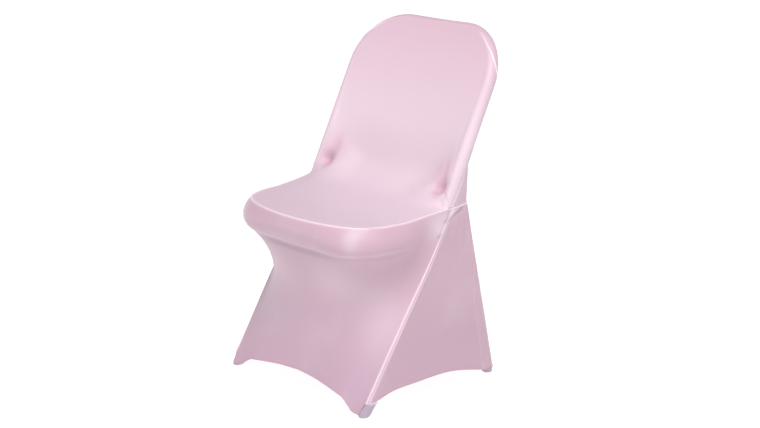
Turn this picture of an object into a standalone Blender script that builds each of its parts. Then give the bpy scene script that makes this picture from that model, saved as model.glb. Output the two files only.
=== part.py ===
"""Stretch cover for a folding chair, as it sits when pulled over the frame.

Metres, +Z up, X across the chair, seat facing -Y. The cover is nine pieces of
stretch cloth: seat and inside back, outside back, front skirt, two side gores
and four foot pockets. Each is a thin closed shell. The sheets are found as
tensioned nets between their seams, held off the round rails that they wrap.
Shapes are worked out with the floor at z = 0 and the front feet at y = 0, and
then moved so that the origin is the underside of the cover's top.
"""
import math

import bpy
import bmesh
import numpy as np

# Driving sizes of the frame that the cloth wraps
FOOT_X = 0.2126
BEND_X = 0.2090
BEND_Y = 0.1896
BEND_Z = 0.3026
BEND_SOFTNESS = 0.02
BACK_LEAN = math.radians(26.8)
BACK_LENGTH = 0.5188
BACK_CORNER_R = 0.1242
BACK_BOW = 0.0171
REAR_FOOT_Y = 0.3813
REAR_SLOPE = -0.2345
RAIL_R = 0.0145
LEG_AXIS_TOP = 0.40
HOOP_AXIS_START = 0.13
REAR_AXIS_TOP = 0.405

# Seam round the seat: half outline from the middle of the front, and heights
SEAT_OUTLINE = ((0.0, -0.022), (0.060, -0.0185), (0.115, -0.008), (0.160, 0.010),
                (0.189, 0.035), (0.202, 0.062), (0.209, 0.094), (0.212, 0.130),
                (0.2165, 0.200))
SEAT_CORNER = 4
SEAM_Z = 0.400
JUNCTION_Z = 0.410
REAR_TURN_Z = 0.4145
SEAM_RISE_Y = (0.13, 0.25)
SEAT_REST_Z = 0.3985
# How far the cloth may stand off the seat, by distance back
SEAT_STAND_OFF = ((0.040, 0.001), (0.120, 0.003), (0.180, 0.009), (0.230, 0.022), (0.270, 0.045),
                  (0.300, 0.080))

# Beside the rails it may stand off more: from and to this far out, and this far back
FREE_X = (0.080, 0.190)
FREE_Y = (0.200, 0.250)
FREE_RISE = 0.060

# Seam angles round the rails, in degrees: (distance up the hoop or height, angle)
JUNCTION_ANGLE = 18.0
HOOP_SEAM = ((0.125, JUNCTION_ANGLE), (0.260, 62.0), (0.400, 66.0), (0.449, -30.0),
             (0.490, -74.0), (0.675, -74.0))
FRONT_LEG_SEAM = ((0.0297, 68.0), (0.125, 55.0), (0.228, 35.0), (JUNCTION_Z, -JUNCTION_ANGLE))
# Where each cloth's wrap leaves the hoop, in the same way
INSIDE_LEAVES = ((0.125, -20.0), (0.147, -60.0), (0.180, -81.0), (0.400, -84.0), (0.675, -86.0))
OUTSIDE_LEAVES = ((0.225, 58.0), (0.300, 82.0), (0.675, 82.0))
INSIDE_STEPS = 5
OUTSIDE_STEPS = 8
# Below this distance the outside back hangs straight from the hoop to the rear leg's top
WEB_TOP = 0.225
WEB_BULGE = 0.003
# How far the rear leg's seam runs ahead of the leg's outer line, by height
REAR_LEG_SEAM = ((0.015, 0.026), (0.190, 0.020), (0.260, 0.004), (0.330, -0.006),
                 (REAR_TURN_Z, -0.011))

# Front band over the seat's rolled edge: depth, then bulge at the middle and corners
BAND = ((0.010, 0.006, 0.010), (0.022, 0.009, 0.018), (0.035, 0.008, 0.021),
        (0.049, 0.001, 0.019), (0.060, -0.011, 0.013))
BAND_FADE_Y = (0.080, 0.170)
BAND_CORNER_X = (0.05, 0.18)

# Hems, by distance from the middle, and foot pockets
FRONT_HEM = ((0.0, 0.044), (0.060, 0.0415), (0.100, 0.0375), (0.150, 0.031), (0.170, 0.021),
             (0.185, 0.0085), (0.195, 0.0066))
FRONT_HEM_Y = 0.002
REAR_HEM_RISE = 0.045
REAR_HEM_ARCH = 0.8
REAR_HEM_LEAN = 0.1
REAR_HEM_TURNS = (20, 60, 88)
SIDE_HEM = ((0.028, 0.034), (0.060, 0.041), (0.200, 0.044), (0.262, 0.038), (0.300, 0.028),
            (0.345, 0.014), (0.352, 0.013))
FRONT_POCKET_RIM = ((-180, 0.005), (-150, 0.006), (-120, 0.010), (-90, 0.018), (-60, 0.026),
                    (-30, 0.030), (-10, 0.031), (8, 0.031), (24, 0.031), (40, 0.0305),
                    (54, 0.030), (68, 0.0292), (80, 0.0265), (90, 0.016), (102, 0.006),
                    (120, 0.005), (140, 0.005), (160, 0.005))
GORE_AT_RIM = (10, 9, 8, 7)
SKIRT_AT_RIM = (12, 13, 14)
REAR_POCKET_RIM = tuple((degrees, 0.012) for degrees in range(-180, 180, 20))

# Hollows beside the rails at the back of the seat
HOLLOW_AT = (0.178, 0.270, 0.441)
HOLLOW_DEPTH = 0.013
HOLLOW_WIDTH = 0.015
HOLLOW_UP = 0.030
HOLLOW_DOWN = 0.012

# Cloth
CLOTH = 0.002
SEAM_HALF_GAP = 0.00015
RIM_GAP = 0.0005
SEAM_TURN_LENGTH = 0.04
CROSS_TENSION = 1.3
SWEEPS = 1200
GORE_NARROWING = 0.6
CURVE_STEPS = 24
NUDGE = 0.001
PLACE_DIGITS = 6
SHARP_ANGLE = math.radians(40)
ROUGHNESS = 0.55

# How far each net starts off its chords, and how squarely
SEAT_SWELL = (0.0, -0.04, 0.03)
SEAT_SWELL_POWER = 0.4
BACK_SWELL = (0.0, 0.07, 0.0)
BACK_SWELL_POWER = 0.3
SKIRT_SWELL = 0.03
SKIRT_SWELL_POWER = 0.5
SKIRT_MIDDLE = (0.0, 0.12, 0.0)
GORE_SWELL = 0.008

# Where the nets' lines fall, as fractions of each seam, closer where the cloth wraps
HALF_BACK = (0.0, 0.05, 0.10, 0.155, 0.22, 0.31, 0.42, 0.55, 0.70, 0.85, 1.0)
SEAT_SIDE = (0.0, 0.04, 0.085, 0.135, 0.20, 0.29, 0.40, 0.53, 0.67, 0.83, 1.0)
BACK_RISE = (0.0, 0.035, 0.075, 0.12, 0.17, 0.23, 0.30, 0.39, 0.49, 0.60, 0.70, 0.765, 0.825,
             0.885, 0.945, 1.0)
GORE_SPREAD = (0.0, 0.02, 0.04, 0.055, 0.075, 0.20, 0.42, 0.70, 1.0)
SKIRT_DROP = (0.0, 0.026, 0.058, 0.092, 0.129, 0.158, 0.20, 0.26, 0.33, 0.41, 0.50, 0.60,
              0.70, 0.80, 0.89, 0.96, 1.0)

PINK = (0.80, 0.62, 0.69, 1.0)
POCKET_GREY = (0.62, 0.56, 0.63, 1.0)

X_AXIS = np.array([1.0, 0.0, 0.0])
Z_AXIS = np.array([0.0, 0.0, 1.0])
UP_BACK = np.array([0.0, math.sin(BACK_LEAN), math.cos(BACK_LEAN)])
OFF_BACK = np.array([0.0, math.cos(BACK_LEAN), -math.sin(BACK_LEAN)])
MIRROR = np.array([-1.0, 1.0, 1.0])
HOOP_STRAIGHT = BACK_LENGTH - BACK_CORNER_R
HOOP_ARC = BACK_CORNER_R * math.pi / 2
HOOP_HALF = HOOP_STRAIGHT + HOOP_ARC + BEND_X - BACK_CORNER_R


def ease(t):
    t = min(max(t, 0.0), 1.0)
    return t * t * (3.0 - 2.0 * t)


def keyed(x, keys):
    """Value at x from rows of (position, value), eased from row to row."""
    if x <= keys[0][0]:
        return keys[0][1]
    for (x0, v0), (x1, v1) in zip(keys, keys[1:]):
        if x <= x1:
            return v0 + (v1 - v0) * ease((x - x0) / (x1 - x0))
    return keys[-1][1]


def linear(x, keys):
    return float(np.interp(x, [k[0] for k in keys], [k[1] for k in keys]))


def unit(v):
    v = np.asarray(v, float)
    return v / np.maximum(np.linalg.norm(v, axis=-1, keepdims=True), 1e-12)


def smooth_curve(points, steps):
    """Fine points on a curve that passes through the given points."""
    points = np.array(points, float)
    ends = np.vstack([2 * points[0] - points[1], points, 2 * points[-1] - points[-2]])
    fine = []
    for a, b, c, d in zip(ends, ends[1:], ends[2:], ends[3:]):
        for t in np.arange(steps) / steps:
            fine.append(0.5 * (2 * b + (c - a) * t + (2 * a - 5 * b + 4 * c - d) * t ** 2
                               + (3 * b - a - 3 * c + d) * t ** 3))
    fine.append(points[-1])
    return np.array(fine)


def spaced(fine, fractions):
    """Points at the given fractions of a fine polyline's length."""
    steps = np.linalg.norm(np.diff(fine, axis=0), axis=1)
    run = np.concatenate([[0.0], np.cumsum(steps)])
    at = np.array(fractions) * run[-1]
    return np.column_stack([np.interp(at, run, fine[:, k]) for k in range(fine.shape[1])])


# Frame lines

def leg_y(z):
    """Front leg's axis: straight to the bend, then on up the back's lean."""
    over = BEND_SOFTNESS * math.log1p(math.exp((z - BEND_Z) / BEND_SOFTNESS))
    first = BEND_Y / BEND_Z
    return BEND_Y + first * (z - BEND_Z) + (math.tan(BACK_LEAN) - first) * over


def leg_x(z):
    return FOOT_X + (BEND_X - FOOT_X) * min(z / BEND_Z, 1.0)


def front_leg_skin(z, degrees):
    """Cloth line on the front leg: 0 is outward, 90 is forward. Returns point, inward."""
    a = math.radians(degrees)
    slope = (leg_y(z + NUDGE) - leg_y(z - NUDGE)) / (2 * NUDGE)
    stretch = math.sqrt(1.0 + slope * slope)
    point = np.array([leg_x(z) + RAIL_R * math.cos(a),
                      leg_y(z) - RAIL_R * stretch * math.sin(a), z])
    return point, np.array([-math.cos(a), stretch * math.sin(a), 0.0])


def above_rim(k):
    """Cloth point just clear of the front pocket's rim, at the rim's row k."""
    (a0, z0), (a1, z1), (a2, z2) = FRONT_POCKET_RIM[k - 1:k + 2]
    along = unit([math.radians(a2 - a0) * RAIL_R, z2 - z0])
    degrees = a1 - math.degrees(RIM_GAP * along[1] / RAIL_R)
    z = z1 + RIM_GAP * along[0]
    point, into = front_leg_skin(z, min(degrees, 90.0))
    beyond = math.radians(max(degrees - 90.0, 0.0)) * RAIL_R
    return point - beyond * X_AXIS, into


def rear_leg_y(z):
    return REAR_FOOT_Y + REAR_SLOPE * z


def rear_leg_skin(z, ahead):
    """Cloth line on the rear leg, or on the flat cloth ahead of its outer line."""
    if ahead >= 0.0:
        return np.array([FOOT_X + RAIL_R, rear_leg_y(z) - ahead, z]), -X_AXIS
    a = -ahead / RAIL_R
    stretch = math.sqrt(1.0 + REAR_SLOPE ** 2)
    point = np.array([FOOT_X + RAIL_R * math.cos(a),
                      rear_leg_y(z) + RAIL_R * stretch * math.sin(a), z])
    return point, -np.array([math.cos(a), math.sin(a), 0.0])


def hoop(d):
    """Right half of the backrest rail: axis point and outward direction at distance d."""
    if d < HOOP_STRAIGHT:
        x, t, out = BEND_X, d, X_AXIS
    elif d < HOOP_STRAIGHT + HOOP_ARC:
        a = (d - HOOP_STRAIGHT) / BACK_CORNER_R
        x = BEND_X - BACK_CORNER_R * (1 - math.cos(a))
        t = HOOP_STRAIGHT + BACK_CORNER_R * math.sin(a)
        out = math.cos(a) * X_AXIS + math.sin(a) * UP_BACK
    else:
        x, t, out = HOOP_HALF - d, BACK_LENGTH, UP_BACK
    bow = BACK_BOW * (1 - (x / BEND_X) ** 2) * t / BACK_LENGTH
    base = np.array([x, BEND_Y, BEND_Z])
    return base + t * UP_BACK + bow * OFF_BACK, out


def hoop_strip(distances, leave, steps):
    """Cloth wrapped on the hoop, from its seam round to where it leaves the rail."""
    points, inward = [], []
    for d in distances:
        axis, out = hoop(d)
        skins, into = [], []
        for degrees in np.linspace(keyed(d, HOOP_SEAM), keyed(d, leave), steps + 1):
            a = math.radians(degrees)
            away = math.cos(a) * out + math.sin(a) * OFF_BACK
            skins.append(axis + RAIL_R * away)
            into.append(-away)
        points.append(skins)
        inward.append(into)
    for k in range(steps + 1):
        angle = -JUNCTION_ANGLE - k * (keyed(distances[0], leave) - JUNCTION_ANGLE) / steps
        points[0][k], inward[0][k] = front_leg_skin(JUNCTION_Z, angle)
    return np.array(points), np.array(inward)


def rear_web(strip, distances, rear_leg):
    """The outside back's lower rows: straight from the seam to a line down to the rear leg."""
    points, inward = strip
    rows = [k for k, d in enumerate(distances) if d < WEB_TOP]
    top, top_in = points[rows[-1] + 1][-1], inward[rows[-1] + 1][-1]
    low, low_in = rear_leg[0][0], rear_leg[1][0]
    share = np.linspace(0.0, 1.0, points.shape[1])[:, None]
    for k in rows:
        drop = 1 - (distances[k] - distances[0]) / (WEB_TOP - distances[0])
        end = (1 - drop) * top + drop * low
        bulge = 4 * share * (1 - share) * WEB_BULGE * drop
        points[k] = (1 - share) * points[k][0] + share * end + bulge * X_AXIS
        end_in = (1 - drop) * top_in + drop * low_in
        inward[k] = unit((1 - share) * inward[k][0] + share * end_in)
    return points, inward


def seams():
    """Every seam on the right half, as points and inward directions."""
    lean = math.radians(JUNCTION_ANGLE)
    rise = JUNCTION_Z + RAIL_R * math.sin(lean) * math.sin(BACK_LEAN) - BEND_Z
    start = rise / math.cos(BACK_LEAN)
    corner = HOOP_STRAIGHT + HOOP_ARC / 2
    distances = [start + f * (corner - start) for f in BACK_RISE]
    distances += [corner + f * (HOOP_HALF - corner) for f in HALF_BACK[1:]]
    made = {}
    made["inside_strip"] = hoop_strip(distances, INSIDE_LEAVES, INSIDE_STEPS)
    drop = JUNCTION_Z - FRONT_LEG_SEAM[0][0]
    heights = [JUNCTION_Z - f * drop for f in SKIRT_DROP]
    made["front_leg"] = pairs(front_leg_skin(z, linear(z, FRONT_LEG_SEAM)) for z in heights)
    drop = REAR_TURN_Z - REAR_LEG_SEAM[0][0]
    heights = [REAR_TURN_Z - f * drop for f in SKIRT_DROP]
    made["rear_leg"] = pairs(rear_leg_skin(z, linear(z, REAR_LEG_SEAM)) for z in heights)
    strip = hoop_strip(distances, OUTSIDE_LEAVES, OUTSIDE_STEPS)
    made["outside_strip"] = rear_web(strip, distances, made["rear_leg"])
    made["seat_side"], made["seat_front"] = seat_seam(row(made["inside_strip"], 0))
    return made


def row(strip, k):
    return strip[0][k], strip[1][k]


def line(strip, r):
    return strip[0][:, r], strip[1][:, r]


def pairs(rows):
    rows = list(rows)
    return np.array([r[0] for r in rows]), np.array([r[1] for r in rows])


def seat_seam(wrap):
    """Seam round the seat: from the hoop's wrap to the corner, and the front half."""
    start, start_in = wrap[0][-1], wrap[1][-1]
    right = [(x, y, seam_height(y)) for x, y in SEAT_OUTLINE]
    left = [(-x, y, z) for x, y, z in right[:0:-1]]
    loop = [start * MIRROR] + left + right + [start]
    fine = smooth_curve(loop, CURVE_STEPS)
    middle = len(left) + 1
    corner = (middle + SEAT_CORNER) * CURVE_STEPS
    side = spaced(fine[corner:][::-1], SEAT_SIDE)
    front = spaced(fine[middle * CURVE_STEPS:corner + 1][::-1], HALF_BACK)
    inward = []
    whole = np.vstack([side, front[1:]])
    for k, point in enumerate(whole):
        ahead = whole[min(k + 1, len(whole) - 1)] - whole[max(k - 1, 0)]
        if k == len(whole) - 1:
            ahead = -X_AXIS
        plain = -unit(unit(np.cross(Z_AXIS, ahead)) + Z_AXIS)
        near = ease(np.linalg.norm(point - start) / SEAM_TURN_LENGTH)
        inward.append(unit((1 - near) * start_in + near * plain))
    inward = np.array(inward)
    cut = len(side)
    return (side, inward[:cut]), (front, inward[cut - 1:])


def seam_height(y):
    start, end = SEAM_RISE_Y
    return SEAM_Z + (JUNCTION_Z - SEAM_Z) * ease((y - start) / (end - start))


def frame_lines():
    """Axes of the rails that the cloth is held off, as polylines."""
    right = [(leg_x(z), leg_y(z), z) for z in np.linspace(0.0, LEG_AXIS_TOP, 21)]
    right += [tuple(hoop(d)[0]) for d in np.linspace(HOOP_AXIS_START, HOOP_HALF, 50)]
    right = np.array(right)
    hoop_line = np.vstack([right, (right * MIRROR)[-2::-1]])
    rear = np.array([(FOOT_X, rear_leg_y(z), z) for z in (0.0, REAR_AXIS_TOP)])
    return [hoop_line, rear, rear * MIRROR]


def hold_off(points, lines):
    """Push points out to the rails' skin."""
    starts = np.vstack([line[:-1] for line in lines])
    runs = np.vstack([np.diff(line, axis=0) for line in lines])
    gap = points[:, None, :] - starts[None]
    along = np.clip((gap * runs).sum(2) / (runs * runs).sum(1), 0.0, 1.0)
    away = gap - along[..., None] * runs
    far = np.linalg.norm(away, axis=2)
    nearest = far.argmin(1)
    rows = np.arange(len(points))
    far, away = far[rows, nearest], away[rows, nearest]
    inside = far < RAIL_R
    out = points.copy()
    out[inside] += away[inside] * (RAIL_R / np.maximum(far[inside], 1e-9) - 1.0)[:, None]
    return out


# Nets

def positions(points):
    """Lengths along a row of points, as a net's line places."""
    return np.concatenate([[0.0], np.cumsum(np.linalg.norm(np.diff(points, axis=0), axis=1))])


def patch(top, bottom, left, right, across, down):
    """A sheet blended between its four edges."""
    u = (across / across[-1])[:, None, None]
    v = (down / down[-1])[None, :, None]
    between = (1 - v) * top[:, None] + v * bottom[:, None]
    between = between + (1 - u) * left[None] + u * right[None]
    corners = (1 - u) * ((1 - v) * top[0] + v * bottom[0])
    return between - corners - u * ((1 - v) * top[-1] + v * bottom[-1])


def relax(net, across, down, lines, pull=CROSS_TENSION, extra=None):
    """Settle a net under tension, held at its edges and held off the rails."""
    step_u, step_v = np.diff(across), np.diff(down)
    mid_u = (step_u[1:] + step_u[:-1]) / 2
    mid_v = (step_v[1:] + step_v[:-1]) / 2
    left = pull * mid_v[None] / step_u[:-1, None]
    right = pull * mid_v[None] / step_u[1:, None]
    above = mid_u[:, None] / step_v[None, :-1]
    below = mid_u[:, None] / step_v[None, 1:]
    total = (left + right + above + below)[..., None]
    for _ in range(SWEEPS):
        inner = (left[..., None] * net[:-2, 1:-1] + right[..., None] * net[2:, 1:-1]
                 + above[..., None] * net[1:-1, :-2] + below[..., None] * net[1:-1, 2:])
        inner = (inner / total).reshape(-1, 3)
        inner = hold_off(inner, lines).reshape(net[1:-1, 1:-1].shape)
        net[1:-1, 1:-1] = inner
        if extra is not None:
            extra(net)
    return net


def mirrored(pair):
    return pair[0] * MIRROR, pair[1] * MIRROR


def joined(*parts):
    """Edges end to end, each a (points, inward) pair, shared ends once."""
    points = np.vstack([parts[0][0]] + [p[0][1:] for p in parts[1:]])
    inward = np.vstack([parts[0][1]] + [p[1][1:] for p in parts[1:]])
    return points, inward


def back(pair):
    return pair[0][::-1], pair[1][::-1]


def whole_width(pair):
    """A half edge that ends at the middle, carried across: left to right."""
    return joined(mirrored(pair), back(pair))


def split_strip(strip):
    """A strip's inner line, parted at the backrest's corner: (rise, top)."""
    inner = line(strip, -1)
    cut = len(BACK_RISE)
    return (inner[0][:cut], inner[1][:cut]), (inner[0][cut - 1:], inner[1][cut - 1:])


def swollen(net, across, down, power, push):
    """Move a net's middle off its chords, so that it starts on the right side."""
    swell = np.sin(np.pi * across[1:-1] / across[-1])[:, None] ** power
    swell = swell * np.sin(np.pi * down[1:-1] / down[-1])[None] ** power
    net[1:-1, 1:-1] += swell[..., None] * push
    return net


def seat_and_back(seam, lines):
    """Seat and inside back: a wrap on the hoop, then down and over the seat."""
    rise, top = split_strip(seam["inside_strip"])
    side = joined(back(rise), seam["seat_side"])
    top, bottom = whole_width(top), whole_width(seam["seat_front"])
    across, down = positions(bottom[0]), positions(side[0])
    net = patch(top[0], bottom[0], side[0] * MIRROR, side[0], across, down)
    net = swollen(net, across, down, SEAT_SWELL_POWER, np.array(SEAT_SWELL))

    def rest_on_seat(sheet):
        inner = sheet[1:-1, 1:-1]
        seated = inner[..., 1] < SEAT_STAND_OFF[-1][0]
        above = np.interp(inner[..., 1], [k[0] for k in SEAT_STAND_OFF],
                          [k[1] for k in SEAT_STAND_OFF])
        above = above + FREE_RISE * beside_rails(inner)
        held = np.clip(inner[..., 2], SEAT_REST_Z, SEAT_REST_Z + above)
        inner[..., 2] = np.where(seated, held, inner[..., 2])

    relax(net, across, down, lines, extra=rest_on_seat)
    press_hollows(net)
    edge = whole_width(line(seam["inside_strip"], 0))
    end = row(seam["inside_strip"], 0)
    ends = [end, mirrored(end), mirrored(seam["seat_side"]), seam["seat_side"], bottom]
    return [whole_strip(seam["inside_strip"][0]), net], [edge] + ends


def beside_rails(points):
    """How near the points are to the rails at the back of the seat: 0 away from them, 1 beside."""
    out = (np.abs(points[..., 0]) - FREE_X[0]) / (FREE_X[1] - FREE_X[0])
    behind = (points[..., 1] - FREE_Y[0]) / (FREE_Y[1] - FREE_Y[0])
    return np.clip(out, 0.0, 1.0) ** 2 * np.clip(behind, 0.0, 1.0)


def whole_strip(strip):
    """A strip's right half, carried across to the left: left junction to right."""
    return np.concatenate([strip * MIRROR, strip[-2::-1]])


def press_hollows(net):
    """The cloth sinks beside the rails where the seat meets the back."""
    inward = -normals(net, True)
    for sign in (1.0, -1.0):
        gap = net - np.array(HOLLOW_AT) * np.array([sign, 1.0, 1.0])
        along = gap @ UP_BACK
        side = np.linalg.norm(gap - along[..., None] * UP_BACK, axis=2)
        reach = np.where(along > 0, HOLLOW_UP, HOLLOW_DOWN)
        press = HOLLOW_DEPTH * np.exp(-(side / HOLLOW_WIDTH) ** 2 - (along / reach) ** 2)
        press[0], press[-1] = 0.0, 0.0
        net += press[..., None] * inward


def outside_back(seam, lines):
    """Outside back: a wrap over the hoop, down behind, round the legs to the hem."""
    rise, top = split_strip(seam["outside_strip"])
    low = seam["rear_leg"]
    side = joined(back(rise), low)
    top = whole_width(top)
    hem = rear_hem(side)
    across, down = positions(top[0]), positions(side[0])
    net = patch(top[0], hem[0], side[0] * MIRROR, side[0], across, down)
    net = swollen(net, across, down, BACK_SWELL_POWER, np.array(BACK_SWELL))
    relax(net, across, down, lines)
    edge = whole_width(line(seam["outside_strip"], 0))
    end = row(seam["outside_strip"], 0)
    ends = [end, mirrored(end), low, mirrored(low), hem]
    return [whole_strip(seam["outside_strip"][0]), net], [edge] + ends


def rear_hem(side):
    """Rear hem: round the foot's outside at the pocket's rim, then an arch across."""
    start, start_in = side[0][-1], side[1][-1]
    rim = REAR_POCKET_RIM[0][1] + RIM_GAP
    stretch = math.sqrt(1.0 + REAR_SLOPE ** 2)
    points, inward = [start], [start_in]
    for degrees in REAR_HEM_TURNS:
        a = math.radians(degrees)
        points.append(np.array([FOOT_X + RAIL_R * math.cos(a),
                                rear_leg_y(rim) + RAIL_R * stretch * math.sin(a), rim]))
        inward.append(-np.array([math.cos(a), math.sin(a), 0.0]))
    back_y = points[-1][1]
    wrapped = len(REAR_HEM_TURNS)
    for f in HALF_BACK[wrapped + 1:]:
        share = (f - HALF_BACK[wrapped]) / (1 - HALF_BACK[wrapped])
        x = FOOT_X * (1 - share)
        rise = REAR_HEM_RISE * (1 - (x / FOOT_X) ** 2) ** REAR_HEM_ARCH
        points.append(np.array([x, back_y + REAR_HEM_LEAN * REAR_SLOPE * rise, rim + rise]))
        inward.append(np.array([0.0, -1.0, 0.0]))
    return whole_width((np.array(points), np.array(inward)))


def front_skirt(seam, lines):
    """Front skirt: from leg seam to leg seam round the seat's front corners."""
    half = joined(row(seam["inside_strip"], 0), seam["seat_side"], seam["seat_front"])
    top = whole_width(half)
    leg = seam["front_leg"]
    hem = front_hem(leg, half)
    edges = [top, hem, mirrored(leg), leg]
    across, down = positions(top[0]), positions(leg[0])
    net = patch(*(e[0] for e in edges), across, down)
    out = unit((net[1:-1, 1:-1] - np.array(SKIRT_MIDDLE)) * np.array([1.0, 1.0, 0.0]))
    net = swollen(net, across, down, SKIRT_SWELL_POWER, SKIRT_SWELL * out)
    band, hold = front_band(top[0], net.shape)

    def keep_band(sheet):
        rows = slice(1, 1 + len(BAND))
        sheet[:, rows] += hold[..., None] * (band - sheet[:, rows])

    relax(net, across, down, lines, extra=keep_band)
    return [net], edges


def front_band(top, shape):
    """Cloth rolled over the seat's edge, and how firmly each point is held there."""
    ahead = np.gradient(top, axis=0) * np.array([1.0, 1.0, 0.0])
    out = unit(np.cross(ahead, Z_AXIS))
    firm = np.array([1 - ease((y - BAND_FADE_Y[0]) / (BAND_FADE_Y[1] - BAND_FADE_Y[0]))
                     for y in top[:, 1]])
    start, end = BAND_CORNER_X
    corner = np.array([ease((abs(x) - start) / (end - start)) for x in top[:, 0]])
    band = np.zeros((shape[0], len(BAND), 3))
    for k, (depth, middle, ends) in enumerate(BAND):
        bulge = middle + (ends - middle) * corner
        band[:, k] = top + bulge[:, None] * out - depth * Z_AXIS
    hold = np.repeat(firm[:, None], len(BAND), axis=1)
    hold[0], hold[-1] = 0.0, 0.0
    return band, hold


def front_hem(leg, half):
    """Front hem: round the pocket's rim, down beside the foot, then an arch across."""
    points, inward = [leg[0][-1]], [leg[1][-1]]
    for k in SKIRT_AT_RIM:
        point, into = above_rim(k)
        points.append(point)
        inward.append(into)
    reach = points[-1][0]
    front_y = points[-1][1]
    run = positions(half[0])
    wrapped = len(SKIRT_AT_RIM)
    share = (run[wrapped + 1:] - run[wrapped]) / (run[-1] - run[wrapped])
    for f in share:
        x = reach * (1 - f)
        y = front_y + (FRONT_HEM_Y - front_y) * ease(1 - x / reach)
        points.append(np.array([x, y, linear(x, FRONT_HEM)]))
        inward.append(np.array([0.0, 1.0, 0.0]))
    return whole_width((np.array(points), np.array(inward)))


def side_gore(seam, lines):
    """Side gore: the triangle between the front and the rear leg."""
    front, rear = seam["front_leg"], seam["rear_leg"]
    top = row(seam["outside_strip"], 0)
    hem = side_hem(front, rear)
    edges = [top, hem, front, rear]
    length = rear[0][-1][1] - front[0][-1][1]
    across = np.array(GORE_SPREAD) * length * GORE_NARROWING
    down = positions(front[0])
    net = patch(*(e[0] for e in edges), across, down)
    net[1:-1, 1:-1] += GORE_SWELL * X_AXIS
    relax(net, across, down, lines)
    return [net], edges


def side_hem(front, rear):
    """Side hem: round the front pocket's outside, then an arch back to the rear leg."""
    points, inward = [front[0][-1]], [front[1][-1]]
    for k in GORE_AT_RIM:
        point, into = above_rim(k)
        points.append(point)
        inward.append(into)
    start, end = points[-1], rear[0][-1]
    wrapped = len(GORE_AT_RIM)
    for f in GORE_SPREAD[wrapped + 1:]:
        share = (f - GORE_SPREAD[wrapped]) / (1 - GORE_SPREAD[wrapped])
        y = start[1] + (end[1] - start[1]) * share
        z = end[2] if f == 1.0 else linear(y, SIDE_HEM)
        points.append(np.array([FOOT_X + RAIL_R, y, z]))
        inward.append(-X_AXIS)
    return np.array(points), np.array(inward)


# Solids

def normals(net, flip):
    """Outward directions over a net."""
    n = unit(np.cross(np.gradient(net, axis=0), np.gradient(net, axis=1)))
    return -n if flip else n


def key(point):
    return tuple(np.round(point, PLACE_DIGITS))


def skin(nets, flip):
    """One open surface from nets that share edge points, and its vertices by place."""
    mesh = bmesh.new()
    found = {}
    for net in nets:
        rows, cols = net.shape[:2]
        for point in net.reshape(-1, 3):
            if key(point) not in found:
                found[key(point)] = mesh.verts.new(point)
        for i in range(rows - 1):
            for j in range(cols - 1):
                corner = [net[i, j], net[i + 1, j], net[i + 1, j + 1], net[i, j + 1]]
                corner = [found[key(point)] for point in corner]
                mesh.faces.new(corner[::-1] if flip else corner)
    mesh.normal_update()
    return mesh, found


def sheet(name, nets, edges, flip, material):
    """A closed shell, one cloth thick, inward of the nets' outer points."""
    mesh, found = skin(nets, flip)
    seam_in = {}
    for points, inward in edges:
        for point, into in zip(points, inward):
            seam_in[found[key(point)]] = into
    rim = [e for e in mesh.edges if e.is_boundary]
    on_rim = {v for e in rim for v in e.verts}
    placed = {v: key(v.co) for v in mesh.verts}
    outer = {v: np.array(v.co) for v in mesh.verts}
    inner = {}
    for vertex in list(mesh.verts):
        into = -np.array(vertex.normal)
        if vertex in on_rim:
            into = seam_in[vertex]
            outer[vertex] = outer[vertex] + pull_back(vertex, into)
        inner[vertex] = outer[vertex] + CLOTH * into
    faces = [list(f.verts) for f in mesh.faces]
    walls = []
    for edge in rim:
        face = edge.link_faces[0]
        ends = [loop.vert for loop in face.loops if loop.edge == edge]
        start = ends[0]
        walls.append((edge.other_vert(start), start))
    twin = {v: mesh.verts.new(inner[v]) for v in inner}
    for vertex, place in outer.items():
        vertex.co = place
    for face in faces:
        mesh.faces.new([twin[v] for v in reversed(face)])
    for start, end in walls:
        if placed[start] < placed[end]:
            mesh.faces.new((start, end, twin[end]))
            mesh.faces.new((start, twin[end], twin[start]))
        else:
            mesh.faces.new((start, end, twin[start]))
            mesh.faces.new((end, twin[end], twin[start]))
    return finish(name, mesh, material)


def pull_back(vertex, into):
    """Half a seam gap from an edge point into its sheet, within the cloth."""
    place = np.array(vertex.co)
    toward = sum(np.array(f.calc_center_median()) - place for f in vertex.link_faces)
    rim = [e for e in vertex.link_edges if e.is_boundary]
    into = unit(into)
    toward = toward - (toward @ into) * into
    if len(vertex.link_faces) > 1:
        along = unit(np.array(rim[0].other_vert(vertex).co) - np.array(rim[1].other_vert(vertex).co))
        toward = toward - (toward @ along) * along
        return SEAM_HALF_GAP * unit(toward)
    return SEAM_HALF_GAP * math.sqrt(2.0) * unit(toward)


def pocket(name, foot_y, slope, rim, side, material):
    """A cup for a leg's end: flat sole, slanted wall, rim higher outside."""
    stretch = math.sqrt(1.0 + slope * slope)
    mesh = bmesh.new()
    rings = []
    for radius, heights in ((RAIL_R, (0.0, None)), (RAIL_R - CLOTH, (None, CLOTH))):
        for height in heights:
            ring = []
            for degrees, top in rim:
                a = math.radians(degrees)
                z = top if height is None else height
                x = FOOT_X + radius * math.cos(a)
                y = foot_y + slope * z - radius * stretch * math.sin(a)
                ring.append(mesh.verts.new((side * x, y, z)))
            rings.append(ring)
    mesh.faces.new(rings[0])
    mesh.faces.new(rings[-1][::-1])
    for low, high in zip(rings, rings[1:]):
        for k in range(len(rim)):
            m = (k + 1) % len(rim)
            mesh.faces.new((low[m], low[k], high[k], high[m]))
    if side < 0:
        bmesh.ops.reverse_faces(mesh, faces=mesh.faces[:])
    return finish(name, mesh, material)


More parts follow.
